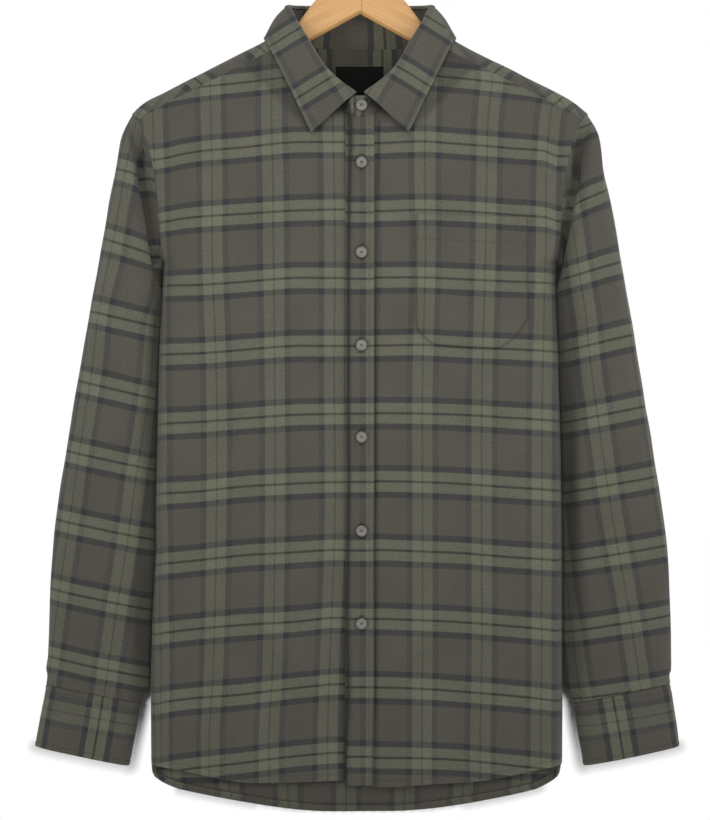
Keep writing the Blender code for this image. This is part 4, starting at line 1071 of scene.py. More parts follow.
# %% Both sleeves
for word, side, warp_table, weft_table in (
    ("right", -1, RIGHT_SLEEVE_WARP, RIGHT_SLEEVE_WEFT), ("left", 1, LEFT_SLEEVE_WARP, LEFT_SLEEVE_WEFT),
):
    positions = np.concatenate([np.linspace(0, 3, 22), np.linspace(3, LAST, 150)[1:]])
    rows = []
    for position in positions:
        hat = max(0.0, 1.0 - abs(position - 1.0))
        points = loop_points(side, lookup(SLEEVE, position), CREASE_FADE * hat)
        start = max(0.0, 1.0 - position)
        low = smooth_step((points[:, 2] - 118.0) / 30.0)
        points[:, 0] -= side * start * (0.2 + low)
        points[:, 1] *= 1.0 - 0.05 * start
        points[:, 2] += start * (0.2 + 0.6 * low)
        rows.append(points)
    grid = np.array(rows)
    # Below the pit the sleeve lies against the body, as far as the sleeve's end.
    reach = side * grid[..., 0]
    inner, level = reach.min(axis=1), grid[np.arange(len(grid)), reach.argmin(axis=1), 2]
    gap = inner - edge_drift(side, level) - [body_at(down)[1] for down in level] + 0.9
    gap *= smooth_step((level - 258.0) / 14.0) * (1.0 - smooth_step((level - 698.0) / 20.0))
    grid[..., 0] -= side * gap[:, None] * np.exp(-((reach - inner[:, None]) / 16.0) ** 2)
    x, down = np.abs(grid[..., 0]), grid[..., 2]
    closed = np.concatenate([grid, grid[:, :1]], axis=1)
    plaid = np.zeros(closed.shape[:2] + (2,))
    plaid[..., 0] = tube_warp(grid, warp_table, (0.155, 0.988))
    plaid[..., 1] = [[weft_level(abs(p[0]), p[2], weft_table) for p in row] for row in closed]
    front = smooth_step((-grid[..., 1] + 2.0) / 8.0)
    relief = creases(x, down, SLEEVE_CREASES[side, True]) * front
    relief += creases(x, down, SLEEVE_CREASES[side, False]) * (1.0 - front)
    relief += ripple(x * 1.3 + grid[..., 1], down, 60 + side, 1.2)
    along = walk(grid, 0)
    top, end = along, along[-1:] - along
    relief *= smooth_step(top / 14.0) * smooth_step(end / 12.0)
    around = walk(grid, 1)
    relief += (pucker(around, top, 71, 0.35, 9.0) * smooth_step(top / 3.0)
               + pucker(around, end, 73 + side, 0.7, 16.0))
    # The body shades the sleeve beside it: how much, how far evenly, and how far at all.
    steps_down = np.clip((down - BODY_TOP) * 2, 0, BODY_LAST).astype(int)
    from_body = x - edge_drift(side, down) - BODY_STEPS[steps_down, 1]
    strength, even, reach_out = (read_column(SLEEVE_SHADE[side], down, part) for part in (1, 2, 3))
    painted_shade = strength * (1.0 - smooth_step((from_body - even) / (reach_out - even)))
    painted_shade = painted_shade * front * (0.35 + 0.65 * smooth_step(from_body / 4.0))
    sleeve = cloth(f"cloth_{word}_sleeve", grid, plaid, 1.0, relief, closed=True, painted_shade=painted_shade)
    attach(sleeve, "root")
    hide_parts(f"{word}_sleeve")

# %% Both cuffs
# Strong line on the front of a cuff: down, distance from the centre. Weak line round it: distance, level.
CUFF_LINES = {
    -1: (((712.6, 264.3), (739.1, 268.6), (777.5, 275.3)), ((232.6, 744.6), (277.9, 734.8), (319.1, 727.6))),
    1: (((712.6, 260.0), (739.1, 265.2), (775.4, 271.4)), ((226.6, 743.5), (264.7, 738.9), (314.1, 729.1))),
}
for word, side in (("right", -1), ("left", 1)):
    strong, weak = CUFF_LINES[side]
    shares = np.concatenate([[0, 0.012, 0.03, 0.05, 0.07, 0.085, 0.1], np.linspace(0.13, 0.87, 20),
                             [0.9, 0.915, 0.93, 0.95, 0.97, 0.985, 1.0]])
    rows = []
    for share in shares:
        points = loop_points(side, [a + (b - a) * share for a, b in zip(SLEEVE[LAST], SLEEVE[LAST + 1])])
        rows.append(points + (0.0, 0.0, SEAM))
    grid = np.array(rows)
    closed = np.concatenate([grid, grid[:, :1]], axis=1)
    plaid = np.zeros(closed.shape[:2] + (2,))
    plaid[..., 1] = tube_warp(grid, strong, (0.175, 0.985))
    if side < 0:   # this cuff turns a little, so the stripes outside its strong line stand closer
        plaid[..., 1] += 0.07 * np.maximum(plaid[..., 1], 0.0)
    weak_x, weak_level = np.array(weak).T
    slope = (weak_level[-1] - weak_level[0]) / (weak_x[-1] - weak_x[0])
    plaid[..., 0] = (closed[..., 2] - weak_level[1] - slope * (np.abs(closed[..., 0]) - weak_x[1])) * 1.02
    along = walk(grid, 0)
    from_edge = np.minimum(along, along[-1:] - along)
    around = walk(grid, 1)
    relief = soft_edge(from_edge, 1.5) + seam_groove(from_edge, BAND_ROW, 0.4)
    relief = relief + pucker(around, from_edge - 5.0, 81, 0.35, 5.0)
    relief += (0.25 * np.exp(-((from_edge - 2.8) / 1.6) ** 2)
               + ripple(around, along, 90 + side, 1.5) * smooth_step(along / 10.0))
    cuff = cloth(f"cloth_{word}_cuff", grid, plaid, 1.6, relief, closed=True)
    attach(cuff, "root")
    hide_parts(f"{word}_cuff")


# %% Sleeve plackets
def sleeve_back_point(side, t, position, out):
    index = int(clamp(math.floor(position), 0, len(SLEEVE) - 2))
    share = position - index
    row = [a + (b - a) * share for a, b in zip(SLEEVE[index], SLEEVE[index + 1])]
    x, down, depth = loop_across(row, t)
    return side * x + end_swing(side, row, t), depth + out, down


for word, side in (("right", -1), ("left", 1)):
    grid = np.array([[sleeve_back_point(side, t, LAST - 0.1 - 4.0 * share, LAY + DOUBLE)
                      for t in np.linspace(0.36, 0.58, 13)] for share in np.linspace(0, 1, 61)])
    across, along = walk(grid, 1), walk(grid, 0)
    from_edge = np.minimum(np.minimum(across, across[:, -1:] - across), np.minimum(along, along[-1:] - along))
    plaid = np.stack([across + 8.0, along + 20.0], -1)
    relief = soft_edge(from_edge, 1.3) + seam_groove(from_edge, SEAM_ROW, 0.3)
    relief = relief + pucker(along, from_edge, 95, 0.2, 4.0)
    band = cloth(f"cloth_{word}_sleeve_placket", grid, plaid, 1.6, relief, toward=(0, 1, 0))
    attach(band, "root")
    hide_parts(f"{word}_sleeve_placket")

# %% [markdown]
# ## Collar
# The stand is a band round the neck whose left end laps over its right end. The leaf starts behind the
# stand's top edge, rolls over it and lies on the shoulders. Its stripes run square to the fold. A flat
# sheet could be folded over the stand, but it would pinch at the points of the collar. So each column of
# points rolls over the fold by itself and ends on the leaf's free edge.


# %% Collar curves
def neck_seam(turn):
    if turn <= 85.0:
        x = NECK_HALF * math.sin(math.radians(turn) * 90.0 / 85.0)
        return back_point(x, back_neckline(x))
    if turn <= 110.0:
        return shoulder_point(*neck_corner((turn - 85.0) / 25.0))
    x = YOKE_FRONT_X * math.cos((turn - 110.0) / 70.0 * math.pi / 2)
    return front_point(x, front_neckline(x))


def mirror_x(point, side):
    return Vector((side * point.x, point.y, point.z))


def fold_point(turn, side):
    here = Vector(lookup(FOLD, turn)[1:])
    run = Vector(lookup(FOLD, turn + 4.0)[1:]) - Vector(lookup(FOLD, turn - 4.0)[1:])
    away = Vector((-run.y, run.x, 0)).normalized()
    below = away.cross(run).normalized()
    if below.z < 0:
        below = -below
    lap = LAP_OUT * smooth_step((turn - 135.0) / 30.0) if side > 0 else 0.0
    return here + away * lap, away, below, lap


STAND_TUCK = 0.8   # the stand's lower edge reaches over the neckline's edge


def stand_column(turn, side):
    top, away, below, lap = fold_point(turn, side)
    bottom = neck_seam(turn) + away * (lap + 0.5) + Vector((0, 0, STAND_TUCK))
    return mirror_x(bottom, side), mirror_x(top + below * STAND_BELOW_FOLD, side)


def leaf_column(turn, side, angles, shares):
    base, away, below, _ = fold_point(turn, side)
    _, edge_x, drop, lift = lookup(LEAF_EDGE, turn)
    free = shoulder_lift(edge_x, drop_girth(drop), lift)
    roll = ROLL_RADIUS + 0.6 * smooth_step((turn - 120.0) / 40.0)
    points = [base - away * DOUBLE + below * (STAND_BELOW_FOLD - 2 * SEAM)]
    for degrees in angles:
        angle = math.radians(degrees)
        out = roll * (1 - math.cos(angle)) - DOUBLE
        points.append(base + away * out + below * roll * (0.5 - math.sin(angle)))
    start = points[-1]
    for share in shares:
        bulge = away * 4.0 * math.sin(math.pi * share) * (1.0 - share)
        points.append(start + (free - start) * share + bulge)
    return [mirror_x(point, side) for point in points]


FOLD_LINE = np.array([fold_point(turn, -1)[0] for turn in np.linspace(0, 180, 361)])
FOLD_LENGTH = np.concatenate([[0], np.cumsum(np.linalg.norm(np.diff(FOLD_LINE, axis=0), axis=1))])


def fold_place(x, y, down):
    """How far along the fold a point of the collar lies, and how far from it."""
    away = np.linalg.norm(FOLD_LINE - (abs(x), y, down), axis=1)
    nearest = int(np.argmin(away))
    last = FOLD_LINE[-1] - FOLD_LINE[-6]
    last = last / np.linalg.norm(last)
    beyond = float(np.dot(np.array((abs(x), y, down)) - FOLD_LINE[-1], last))
    if nearest >= 359 and beyond > 0:
        gap = np.array((abs(x), y, down)) - FOLD_LINE[-1] - last * beyond
        return FOLD_LENGTH[-1] + beyond, float(np.linalg.norm(gap))
    low, high = max(nearest - 1, 0), min(nearest + 1, 360)
    run = FOLD_LINE[high] - FOLD_LINE[low]
    share = np.dot(np.array((abs(x), y, down)) - FOLD_LINE[low], run) / np.dot(run, run)
    return FOLD_LENGTH[low] + share * (FOLD_LENGTH[high] - FOLD_LENGTH[low]), float(away[nearest])


# In front, the strong lines run straight across the leaf, square to the line q = 0.86 down - 0.51 |x|.
# Each side has two of them: q of the first and the second.
LEAF_LINES = {-1: (-9.2, 53.5), 1: (-24.2, 39.0)}


def leaf_front_weft(x, down, side):
    first, second = LEAF_LINES[side]
    return (0.86 * down - 0.51 * abs(x) - first) / (second - first) * WEFT_REPEAT


NECK_SIDE = fold_place(*lookup(FOLD, 85.0)[1:])[0]
RIGHT_PHASE = NECK_SIDE - leaf_front_weft(74.0, 0.0, -1)
LEFT_PHASE = NECK_SIDE - leaf_front_weft(74.0, 0.0, 1)
print("fold length:", FOLD_LENGTH[-1], "phases:", RIGHT_PHASE, LEFT_PHASE)


def collar_weft(along, side):
    """Strong coordinate round the collar, joined smoothly behind the neck."""
    right = side * along + RIGHT_PHASE
    left = side * along - LEFT_PHASE
    left += WEFT_REPEAT * round((RIGHT_PHASE + LEFT_PHASE) / WEFT_REPEAT)
    share = smooth_step((side * along + 60.0) / 120.0)
    return right + (left - right) * share


# %% Collar stand
turns = np.linspace(0, 180, 73)
over = stand_column(180.0, 1)
columns, lengths = [], []
for reach, rounding in ((10.4, 9.0), (10.2, 6.0), (9.8, 4.2), (8.5, 2.6), (7.0, 1.5), (5.0, 0.6), (2.5, 0.1)):
    bottom = Vector((-reach, over[0].y, front_neckline(reach) + STAND_TUCK - rounding))
    columns.append((bottom, Vector((-reach, over[1].y, over[1].z + rounding))))
columns += [stand_column(turn, 1) for turn in turns[::-1]]
columns += [stand_column(turn, -1) for turn in turns[1:]]
under = columns[-1]
for reach in (2.5, 5.0, 7.0, 9.0):
    bottom = Vector((reach, under[0].y + 0.15 * reach, front_neckline(reach) + STAND_TUCK - 0.8))
    columns.append((bottom, Vector((reach, under[1].y + 0.3 * reach, under[1].z + 1.0))))
shares = np.concatenate([[0, 0.03, 0.07, 0.11, 0.15], np.linspace(0.22, 0.8, 9), [0.85, 0.9, 0.95, 1.0]])
grid = np.array([[bottom + (top - bottom) * share for bottom, top in columns] for share in shares], float)
middle = 7 + 72
along = walk(grid, 1)[-1]
along = -(along - along[middle])
up = walk(grid, 0)
plaid = np.stack([up + 16.0, np.broadcast_to(along - 24.3, up.shape)], -1)
from_edge = np.minimum(up, up[-1:] - up)
relief = soft_edge(from_edge, 1.2) + seam_groove(from_edge, CLOSE_ROW, 0.3)
relief = relief + pucker(walk(grid, 1), from_edge, 101, 0.25, 5.0)
# Painted shade under the collar's front edges and round the collar button in front; painted light brightens
# the stand's inner face behind the neck.
painted_shade = np.where(grid[..., 1] < 0, painted_shade_under_leaf(grid[..., 0], grid[..., 2]), 0.0)
corners = np.array([vertex.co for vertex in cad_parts["collar_button"].data.vertices])
button = (corners.min(axis=0) + corners.max(axis=0)) * 500.0
ring = painted_button_rings(grid[..., 0], grid[..., 2], [(button[0], -button[2] - HOOK_DROP)])
painted_shade += np.where(grid[..., 1] < -30.0, ring, 0.0)
stand = cloth("cloth_collar_stand", grid, plaid, 1.6, relief, painted_shade=painted_shade,
              inside_painted_light_and_shade=np.where(grid[..., 1] < 0, painted_shade, -0.2))
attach(stand, "root")
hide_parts("collar_stand")

# %% Collar leaf
angles = np.linspace(0, 180, 10)
shares = np.concatenate([np.linspace(0.06, 0.86, 17), [0.88, 0.9, 0.92, 0.94, 0.96, 0.975, 0.99, 1.0]])
turns = np.concatenate([np.linspace(0, 176, 100), [177, 178, 178.6, 179.1, 179.5, 179.8, 180]])
columns = [leaf_column(turn, 1, angles, shares) for turn in turns[::-1]]
columns += [leaf_column(turn, -1, angles, shares) for turn in turns[1:]]
grid = np.array(columns, float).transpose(1, 0, 2)
over = walk(grid, 0)
plaid = np.zeros(grid.shape[:2] + (2,))
for row in range(len(grid)):
    for column in range(grid.shape[1]):
        side = 1 if column < len(turns) else -1
        turn = turns[::-1][column] if side > 0 else turns[column - len(turns) + 1]
        along = fold_place(*grid[max(row, 11), column])[0]
        ahead = side * leaf_front_weft(grid[max(row, 5), column, 0], grid[max(row, 5), column, 2], side)
        in_front = smooth_step((turn - 72.0) / 26.0)
        plaid[row, column] = (0.0, collar_weft(along, side) * (1 - in_front) + ahead * in_front)
free = over[-1:] - over
plaid[..., 0] = free * 0.97 + 7.0
ends = walk(grid, 1)
ends = np.minimum(ends, ends[:, -1:] - ends)
from_edge = np.minimum(free, ends)
hold = smooth_step((over - 12.0) / 14.0)
relief = (soft_edge(from_edge, 1.2) + seam_groove(from_edge, LEAF_ROW, 0.3, 0.8)
          + pucker(walk(grid, 1) + over, from_edge - 3.0, 111, 0.3, 5.0)) * hold
relief += ripple(grid[..., 0] + grid[..., 1], grid[..., 2], 120, 0.9) * hold
leaf = cloth("cloth_collar_leaf", grid, plaid, 1.6, relief)
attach(leaf, "root")
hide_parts("collar_leaf")

# %% [markdown]
# ## Materials
# Colours are written as sRGB hex and turned into linear values by one function. The flannel is woven in
# the shader: a ramp of yarn colours for the warp, the same ramp for the weft, and a twill that shows a
# little more weft than warp. Its scale comes from the `Cloth` UV map, which is in real millimetres.
# An image of plaid on the same map would look alike from afar, but it would blur from near.


# %% Shader tools
def srgb(code):
    """Linear colour of an sRGB hex code."""
    parts = [int(code[index:index + 2], 16) / 255.0 for index in (1, 3, 5)]
    return (*[part / 12.92 if part <= 0.04045 else ((part + 0.055) / 1.055) ** 2.4 for part in parts], 1.0)


def add_node(tree, kind, inputs=None, **settings):
    """Adds a node; an input may be a value or the output it is linked to."""
    made = tree.nodes.new(kind)
    for key, value in settings.items():
        setattr(made, key, value)
    for key, value in (inputs or {}).items():
        if isinstance(value, bpy.types.NodeSocket):
            tree.links.new(value, made.inputs[key])
        else:
            made.inputs[key].default_value = value
    return made


def new_material(name):
    """A material with an empty tree, its shader and the tree."""
    made = bpy.data.materials.new(name)
    made.use_nodes = True
    tree = made.node_tree
    tree.nodes.clear()
    shader = add_node(tree, "ShaderNodeBsdfPrincipled")
    add_node(tree, "ShaderNodeOutputMaterial", {"Surface": shader.outputs[0]}, location=(300, 0))
    return made, tree, shader


def show(tree, node):
    """Sends another node than the shader to a material's output."""
    output = next(item for item in tree.nodes if item.type == "OUTPUT_MATERIAL")
    tree.links.new(node.outputs[0], output.inputs["Surface"])


print("field colour, linear:", srgb("#57544c"))

# %% Flannel
FIELD, GREEN = "#57544c", "#6e705f"
# Half widths of the bands from the thin line outwards, in millimetres, as far as half a repeat and a bit.
# The weft's dark yarns are darker.
BANDS_REACH = 36.0
WARP_BANDS = ((0.0, "#4c4b46"), (0.65, "#4c4b46"), (1.2, GREEN), (10.2, GREEN), (11.0, "#3c3e41"),
              (16.4, "#3c3e41"), (17.3, FIELD), (BANDS_REACH, FIELD))
WEFT_BANDS = ((0.0, "#30302d"), (0.9, "#30302d"), (1.6, GREEN), (10.2, GREEN), (11.0, "#303338"),
              (16.4, "#303338"), (17.3, FIELD), (BANDS_REACH, FIELD))
SHADE = 0.8   # every dye is this much deeper than its hex, which balances the bright light tent
# A twill line every 1.3 mm: four yarns. Features of the yarn, the nap and the wash, per millimetre.
TWILL, YARN_SCALE, NAP_SCALE, WASH_SCALE = 1.3, 0.9, 0.5, 0.022


def shaded(code):
    return tuple(part * SHADE for part in srgb(code)[:3]) + (1.0,)


def stripe_colour(tree, coordinate, repeat, fuzz, bands):
    """Yarn colour at a place in the weave, from its distance to the nearest thin line."""
    half = repeat / 2
    wrapped = add_node(tree, "ShaderNodeMath", {0: coordinate, 1: half, 2: -half}, operation="WRAP")
    away = add_node(tree, "ShaderNodeMath", {0: wrapped.outputs[0]}, operation="ABSOLUTE")
    rough = add_node(tree, "ShaderNodeMath", {0: away.outputs[0], 1: fuzz}, operation="ADD")
    share = add_node(tree, "ShaderNodeMath", {0: rough.outputs[0], 1: BANDS_REACH}, operation="DIVIDE")
    ramp = add_node(tree, "ShaderNodeValToRGB", {"Fac": share.outputs[0]})
    stops = ramp.color_ramp.elements
    while len(stops) < len(bands):
        stops.new(1.0)
    for stop, (distance, code) in zip(stops, bands):
        stop.position, stop.color = distance / BANDS_REACH, shaded(code)
    return ramp.outputs["Color"]


# Brushed cotton flannel: dull, with a soft nap that catches a little light at grazing angles.
flannel, tree, shader = new_material("Brushed plaid flannel")
weave = add_node(tree, "ShaderNodeUVMap", uv_map="Cloth").outputs["UV"]
parts = add_node(tree, "ShaderNodeSeparateXYZ", {0: weave})
yarn = add_node(tree, "ShaderNodeTexNoise",
                {"Vector": weave, "Scale": YARN_SCALE, "Detail": 2.0, "Roughness": 0.6})
fuzz = add_node(tree, "ShaderNodeMath", {0: yarn.outputs[0], 1: 2.2, 2: -1.1}, operation="MULTIPLY_ADD")
warp = stripe_colour(tree, parts.outputs["X"], WARP_REPEAT, fuzz.outputs[0], WARP_BANDS)
weft = stripe_colour(tree, parts.outputs["Y"], WEFT_REPEAT, fuzz.outputs[0], WEFT_BANDS)
diagonal = add_node(tree, "ShaderNodeMath", {0: parts.outputs["X"], 1: parts.outputs["Y"]}, operation="ADD")
turn = add_node(tree, "ShaderNodeMath", {0: diagonal.outputs[0], 1: 2 * math.pi / TWILL},
                operation="MULTIPLY")
twill = add_node(tree, "ShaderNodeMath", {0: turn.outputs[0]}, operation="SINE")
share = add_node(tree, "ShaderNodeMath", {0: twill.outputs[0], 1: 0.12, 2: 0.6}, operation="MULTIPLY_ADD")
# Inputs 6 and 7 of a Mix node for colours are its two colours.
woven = add_node(tree, "ShaderNodeMix", {"Factor": share.outputs[0], 6: warp, 7: weft}, data_type="RGBA")
nap = add_node(tree, "ShaderNodeTexNoise",
               {"Vector": weave, "Scale": NAP_SCALE, "Detail": 3.0, "Roughness": 0.8})
wash = add_node(tree, "ShaderNodeTexNoise",
                {"Vector": weave, "Scale": WASH_SCALE, "Detail": 2.0, "Roughness": 0.5})
fine = add_node(tree, "ShaderNodeMapRange", {"Value": nap.outputs[0], 1: 0.3, 2: 0.7, 3: 0.8, 4: 1.2})
broad = add_node(tree, "ShaderNodeMapRange", {"Value": wash.outputs[0], 1: 0.3, 2: 0.7, 3: 0.93, 4: 1.07})
both = add_node(tree, "ShaderNodeMath", {0: fine.outputs[0], 1: broad.outputs[0]}, operation="MULTIPLY")
# Painted shade and light: the mesh attribute takes light from the colour in narrow gaps, beside the placket,
# under the collar, round the buttons, at the pocket's edge, beside the body and inside the back below the
# fronts' hems. Below zero it paints light on inner faces, where light bounces about inside the shirt.
gap = add_node(tree, "ShaderNodeAttribute", attribute_name="PaintedLightAndShade")
left = add_node(tree, "ShaderNodeMath", {0: 1.0, 1: gap.outputs["Fac"]}, operation="SUBTRACT")
lit = add_node(tree, "ShaderNodeMath", {0: both.outputs[0], 1: left.outputs[0]}, operation="MULTIPLY")
toned = add_node(tree, "ShaderNodeVectorMath", {0: woven.outputs[2], "Scale": lit.outputs[0]},
                 operation="SCALE")
# Fibres of several colours are blended in the yarn: each fleck leans a little warm or cool.
fleck = add_node(tree, "ShaderNodeVectorMath",
                 {0: nap.outputs["Color"], 1: (0.44, 0.24, 0.50), 2: (0.78, 0.88, 0.75)},
                 operation="MULTIPLY_ADD")
colour = add_node(tree, "ShaderNodeVectorMath", {0: toned.outputs[0], 1: fleck.outputs[0]},
                  operation="MULTIPLY")
height = add_node(tree, "ShaderNodeMath", {0: twill.outputs[0], 1: 0.15, 2: nap.outputs[0]},
                  operation="MULTIPLY_ADD")
bump = add_node(tree, "ShaderNodeBump", {"Height": height.outputs[0], "Strength": 0.35, "Distance": 0.0004})
tree.links.new(colour.outputs[0], shader.inputs["Base Color"])
tree.links.new(bump.outputs[0], shader.inputs["Normal"])
for key, value in (("Roughness", 0.95), ("Specular IOR Level", 0.2), ("Sheen Weight", 0.12),
                   ("Sheen Roughness", 0.6), ("Sheen Tint", (0.9, 0.9, 0.85, 1.0))):
    shader.inputs[key].default_value = value
for piece, _, _ in SHELLS.values():
    piece.data.materials.append(flannel)
print("flannel on", len(SHELLS), "pieces")

# %% Thread, label, button, wood and steel
# Spun polyester sewing thread: dull, and a shade darker than the field, so a row shows as a fine line.
thread, tree, shader = new_material("Sewing thread")
shader.inputs["Base Color"].default_value = shaded("#4a4841")
shader.inputs["Roughness"].default_value = 0.8

# The same thread, darker, packed tightly round the buttonholes and crossed in the buttons.
button_thread, tree, shader = new_material("Button thread")
shader.inputs["Base Color"].default_value = shaded("#45433d")
shader.inputs["Roughness"].default_value = 0.8

# Woven polyester satin, dyed black: a flat dark patch with hardly any shine. The label is left bare.
satin, tree, shader = new_material("Black satin label")
shader.inputs["Base Color"].default_value = shaded("#121311")
shader.inputs["Roughness"].default_value = 0.7
shader.inputs["Specular IOR Level"].default_value = 0.12

# Cast and turned polyester resin that looks like horn: faint clouds of 2 mm under a thin soft gloss.
resin, tree, shader = new_material("Grey horn resin")
where = add_node(tree, "ShaderNodeTexCoord")
cloud = add_node(tree, "ShaderNodeTexNoise",
                 {"Vector": where.outputs["Object"], "Scale": 420.0, "Detail": 3.0})
tint = add_node(tree, "ShaderNodeValToRGB", {"Fac": cloud.outputs[0]})
for stop, (at, code) in zip(tint.color_ramp.elements, ((0.3, "#716f69"), (0.7, "#8b8880"))):
    stop.position, stop.color = at, shaded(code)
tree.links.new(tint.outputs[0], shader.inputs["Base Color"])
shader.inputs["Roughness"].default_value = 0.5
shader.inputs["Coat Weight"].default_value = 0.1
shader.inputs["Coat Roughness"].default_value = 0.2

# Beech under a satin lacquer: two halves joined on the centre line, with grain 5 mm wide and 70 mm long
# that runs along each arm. The lacquer gives one broad soft highlight.
ARM_SLOPE = 0.52
GRAIN_SCALE = (14.0, 120.0, 190.0)   # features per metre: along an arm, through it and across it
beech, tree, shader = new_material("Lacquered beech")
where = add_node(tree, "ShaderNodeTexCoord")
parts = add_node(tree, "ShaderNodeSeparateXYZ", {0: where.outputs["Object"]})
from_joint = add_node(tree, "ShaderNodeMath", {0: parts.outputs["X"], 1: -0.0018}, operation="ADD")
outward = add_node(tree, "ShaderNodeMath", {0: from_joint.outputs[0]}, operation="ABSOLUTE").outputs[0]
across = add_node(tree, "ShaderNodeMath", {0: outward, 1: ARM_SLOPE, 2: parts.outputs["Z"]},
                  operation="MULTIPLY_ADD")
grain_place = add_node(tree, "ShaderNodeCombineXYZ",
                       {0: outward, 1: parts.outputs["Y"], 2: across.outputs[0]})
stretched = add_node(tree, "ShaderNodeVectorMath", {0: grain_place.outputs[0], 1: GRAIN_SCALE},
                     operation="MULTIPLY")
grain = add_node(tree, "ShaderNodeTexNoise",
                 {"Vector": stretched.outputs[0], "Scale": 1.0, "Detail": 5.0, "Roughness": 0.55})
wood = add_node(tree, "ShaderNodeValToRGB", {"Fac": grain.outputs[0]})
for stop, (at, code) in zip(wood.color_ramp.elements, ((0.25, "#cf9656"), (0.75, "#e6b577"))):
    stop.position, stop.color = at, shaded(code)
joint = add_node(tree, "ShaderNodeMapRange", {"Value": outward, 1: 0.0002, 2: 0.0007, 3: 0.62, 4: 1.0})
tone = add_node(tree, "ShaderNodeVectorMath", {0: wood.outputs[0], "Scale": joint.outputs[0]},
                operation="SCALE")
tree.links.new(tone.outputs[0], shader.inputs["Base Color"])
shader.inputs["Roughness"].default_value = 0.42
shader.inputs["Coat Weight"].default_value = 0.15
shader.inputs["Coat Roughness"].default_value = 0.4

# Drawn steel wire, bent and nickel-plated: a soft grey mirror.
steel, tree, shader = new_material("Plated steel wire")
shader.inputs["Base Color"].default_value = srgb("#b4b4b1")
shader.inputs["Metallic"].default_value = 1.0
shader.inputs["Roughness"].default_value = 0.32

BUTTON_NODES = [f"front_button_{number}" for number in range(1, 7)] + [
    "collar_button", "right_cuff_button", "left_cuff_button"]
finishes = {"neck_label": satin, "hanger": beech, "hook": steel}
finishes.update({name: resin for name in BUTTON_NODES})
for name, finish in finishes.items():
    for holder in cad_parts[name].material_slots:
        holder.material = finish
print("finishes on CAD nodes:", len(finishes))

# %% [markdown]
# ## Sewing
# Each row of stitches is a line laid on its shell. Geometry Nodes cuts the line into even lengths and
# puts one thread on each, so the stitch length is a real 2.9 mm. The same graph lays the button thread.
# A bump in the flannel's shader would look alike from afar, but real threads catch light of their own.


# %% Stitch graph
# A row of stitches, in metres.
ROW_SIZES = {"Spacing": 0.0029, "Stitch length": 0.0023, "Thread thickness": 0.00042}


def stitch_graph():
    """Stitches along the edges of a mesh, with named inputs for length, thickness and material."""
    graph = bpy.data.node_groups.new("Row of stitches", "GeometryNodeTree")
    face = graph.interface
    face.new_socket("Geometry", in_out="INPUT", socket_type="NodeSocketGeometry")
    for name, value in ROW_SIZES.items():
        face.new_socket(name, in_out="INPUT", socket_type="NodeSocketFloat").default_value = value
    face.new_socket("Material", in_out="INPUT", socket_type="NodeSocketMaterial")
    face.new_socket("Geometry", in_out="OUTPUT", socket_type="NodeSocketGeometry")
    given = add_node(graph, "NodeGroupInput").outputs
    curve = add_node(graph, "GeometryNodeMeshToCurve", {"Mesh": given["Geometry"]})
    even = add_node(graph, "GeometryNodeResampleCurve", {"Curve": curve.outputs[0]})
    if hasattr(even, "mode"):
        even.mode = "LENGTH"
    graph.links.new(given["Spacing"], even.inputs["Length"])
    along = add_node(graph, "GeometryNodeInputTangent")
    turned = add_node(graph, "FunctionNodeAlignRotationToVector", {"Vector": along.outputs[0]}, axis="Z")
    size = add_node(graph, "ShaderNodeCombineXYZ",
                    {0: given["Thread thickness"], 1: given["Thread thickness"], 2: given["Stitch length"]})
    bead = add_node(graph, "GeometryNodeMeshUVSphere", {"Segments": 6, "Rings": 4, "Radius": 0.5})
    laid = add_node(graph, "GeometryNodeInstanceOnPoints",
                    {"Points": even.outputs[0], "Instance": bead.outputs[0], "Rotation": turned.outputs[0],
                     "Scale": size.outputs[0]})
    real = add_node(graph, "GeometryNodeRealizeInstances", {"Geometry": laid.outputs[0]})
    smooth = add_node(graph, "GeometryNodeSetShadeSmooth", {"Geometry": real.outputs[0]})
    dressed = add_node(graph, "GeometryNodeSetMaterial",
                       {"Geometry": smooth.outputs[0], "Material": given["Material"]})
    result = add_node(graph, "NodeGroupOutput")
    graph.links.new(dressed.outputs[0], result.inputs[0])
    return graph


def apply_graph(base, graph, name, values):
    """Runs the graph on an object and returns the plain mesh object it makes."""
    modifier = base.modifiers.new("Stitches", "NODES")
    modifier.node_group = graph
    for item in graph.interface.items_tree:
        if item.in_out == "INPUT" and item.name in values:
            modifier[item.identifier] = values[item.name]
    depsgraph = bpy.context.evaluated_depsgraph_get()
    mesh = bpy.data.meshes.new_from_object(base.evaluated_get(depsgraph))
    mesh.name = name
    made = new_object(name, mesh)
    bpy.data.objects.remove(base, do_unlink=True)
    return made


def lines_object(name, lines):
    points, edges = [], []
    for line in lines:
        start = len(points)
        points += [tuple(point) for point in line]
        edges += [(start + index, start + index + 1) for index in range(len(line) - 1)]
    mesh = bpy.data.meshes.new(name)
    mesh.from_pydata(points, edges, [])
    return new_object(name, mesh)


def on_shell(name, path, out=0.05):
    """World points on the outside of a shell, along a path of (row, column) grid places."""
    _, points, normals = SHELLS[name]
    line = []
    rows, columns = points.shape[:2]
    for row, column in path:
        r, c = int(clamp(math.floor(row), 0, rows - 2)), int(math.floor(column))
        closed = c >= columns - 1
        fr, fc = row - r, column - c
        total = 0.0
        weights = ((0, 0, (1 - fr) * (1 - fc)), (1, 0, fr * (1 - fc)), (0, 1, (1 - fr) * fc), (1, 1, fr * fc))
        for dr, dc, weight in weights:
            cc = (c + dc) % columns if closed else min(c + dc, columns - 1)
            total = total + (points[r + dr, cc] + normals[r + dr, cc] * out) * weight
        line.append(to_world(total))
    return line


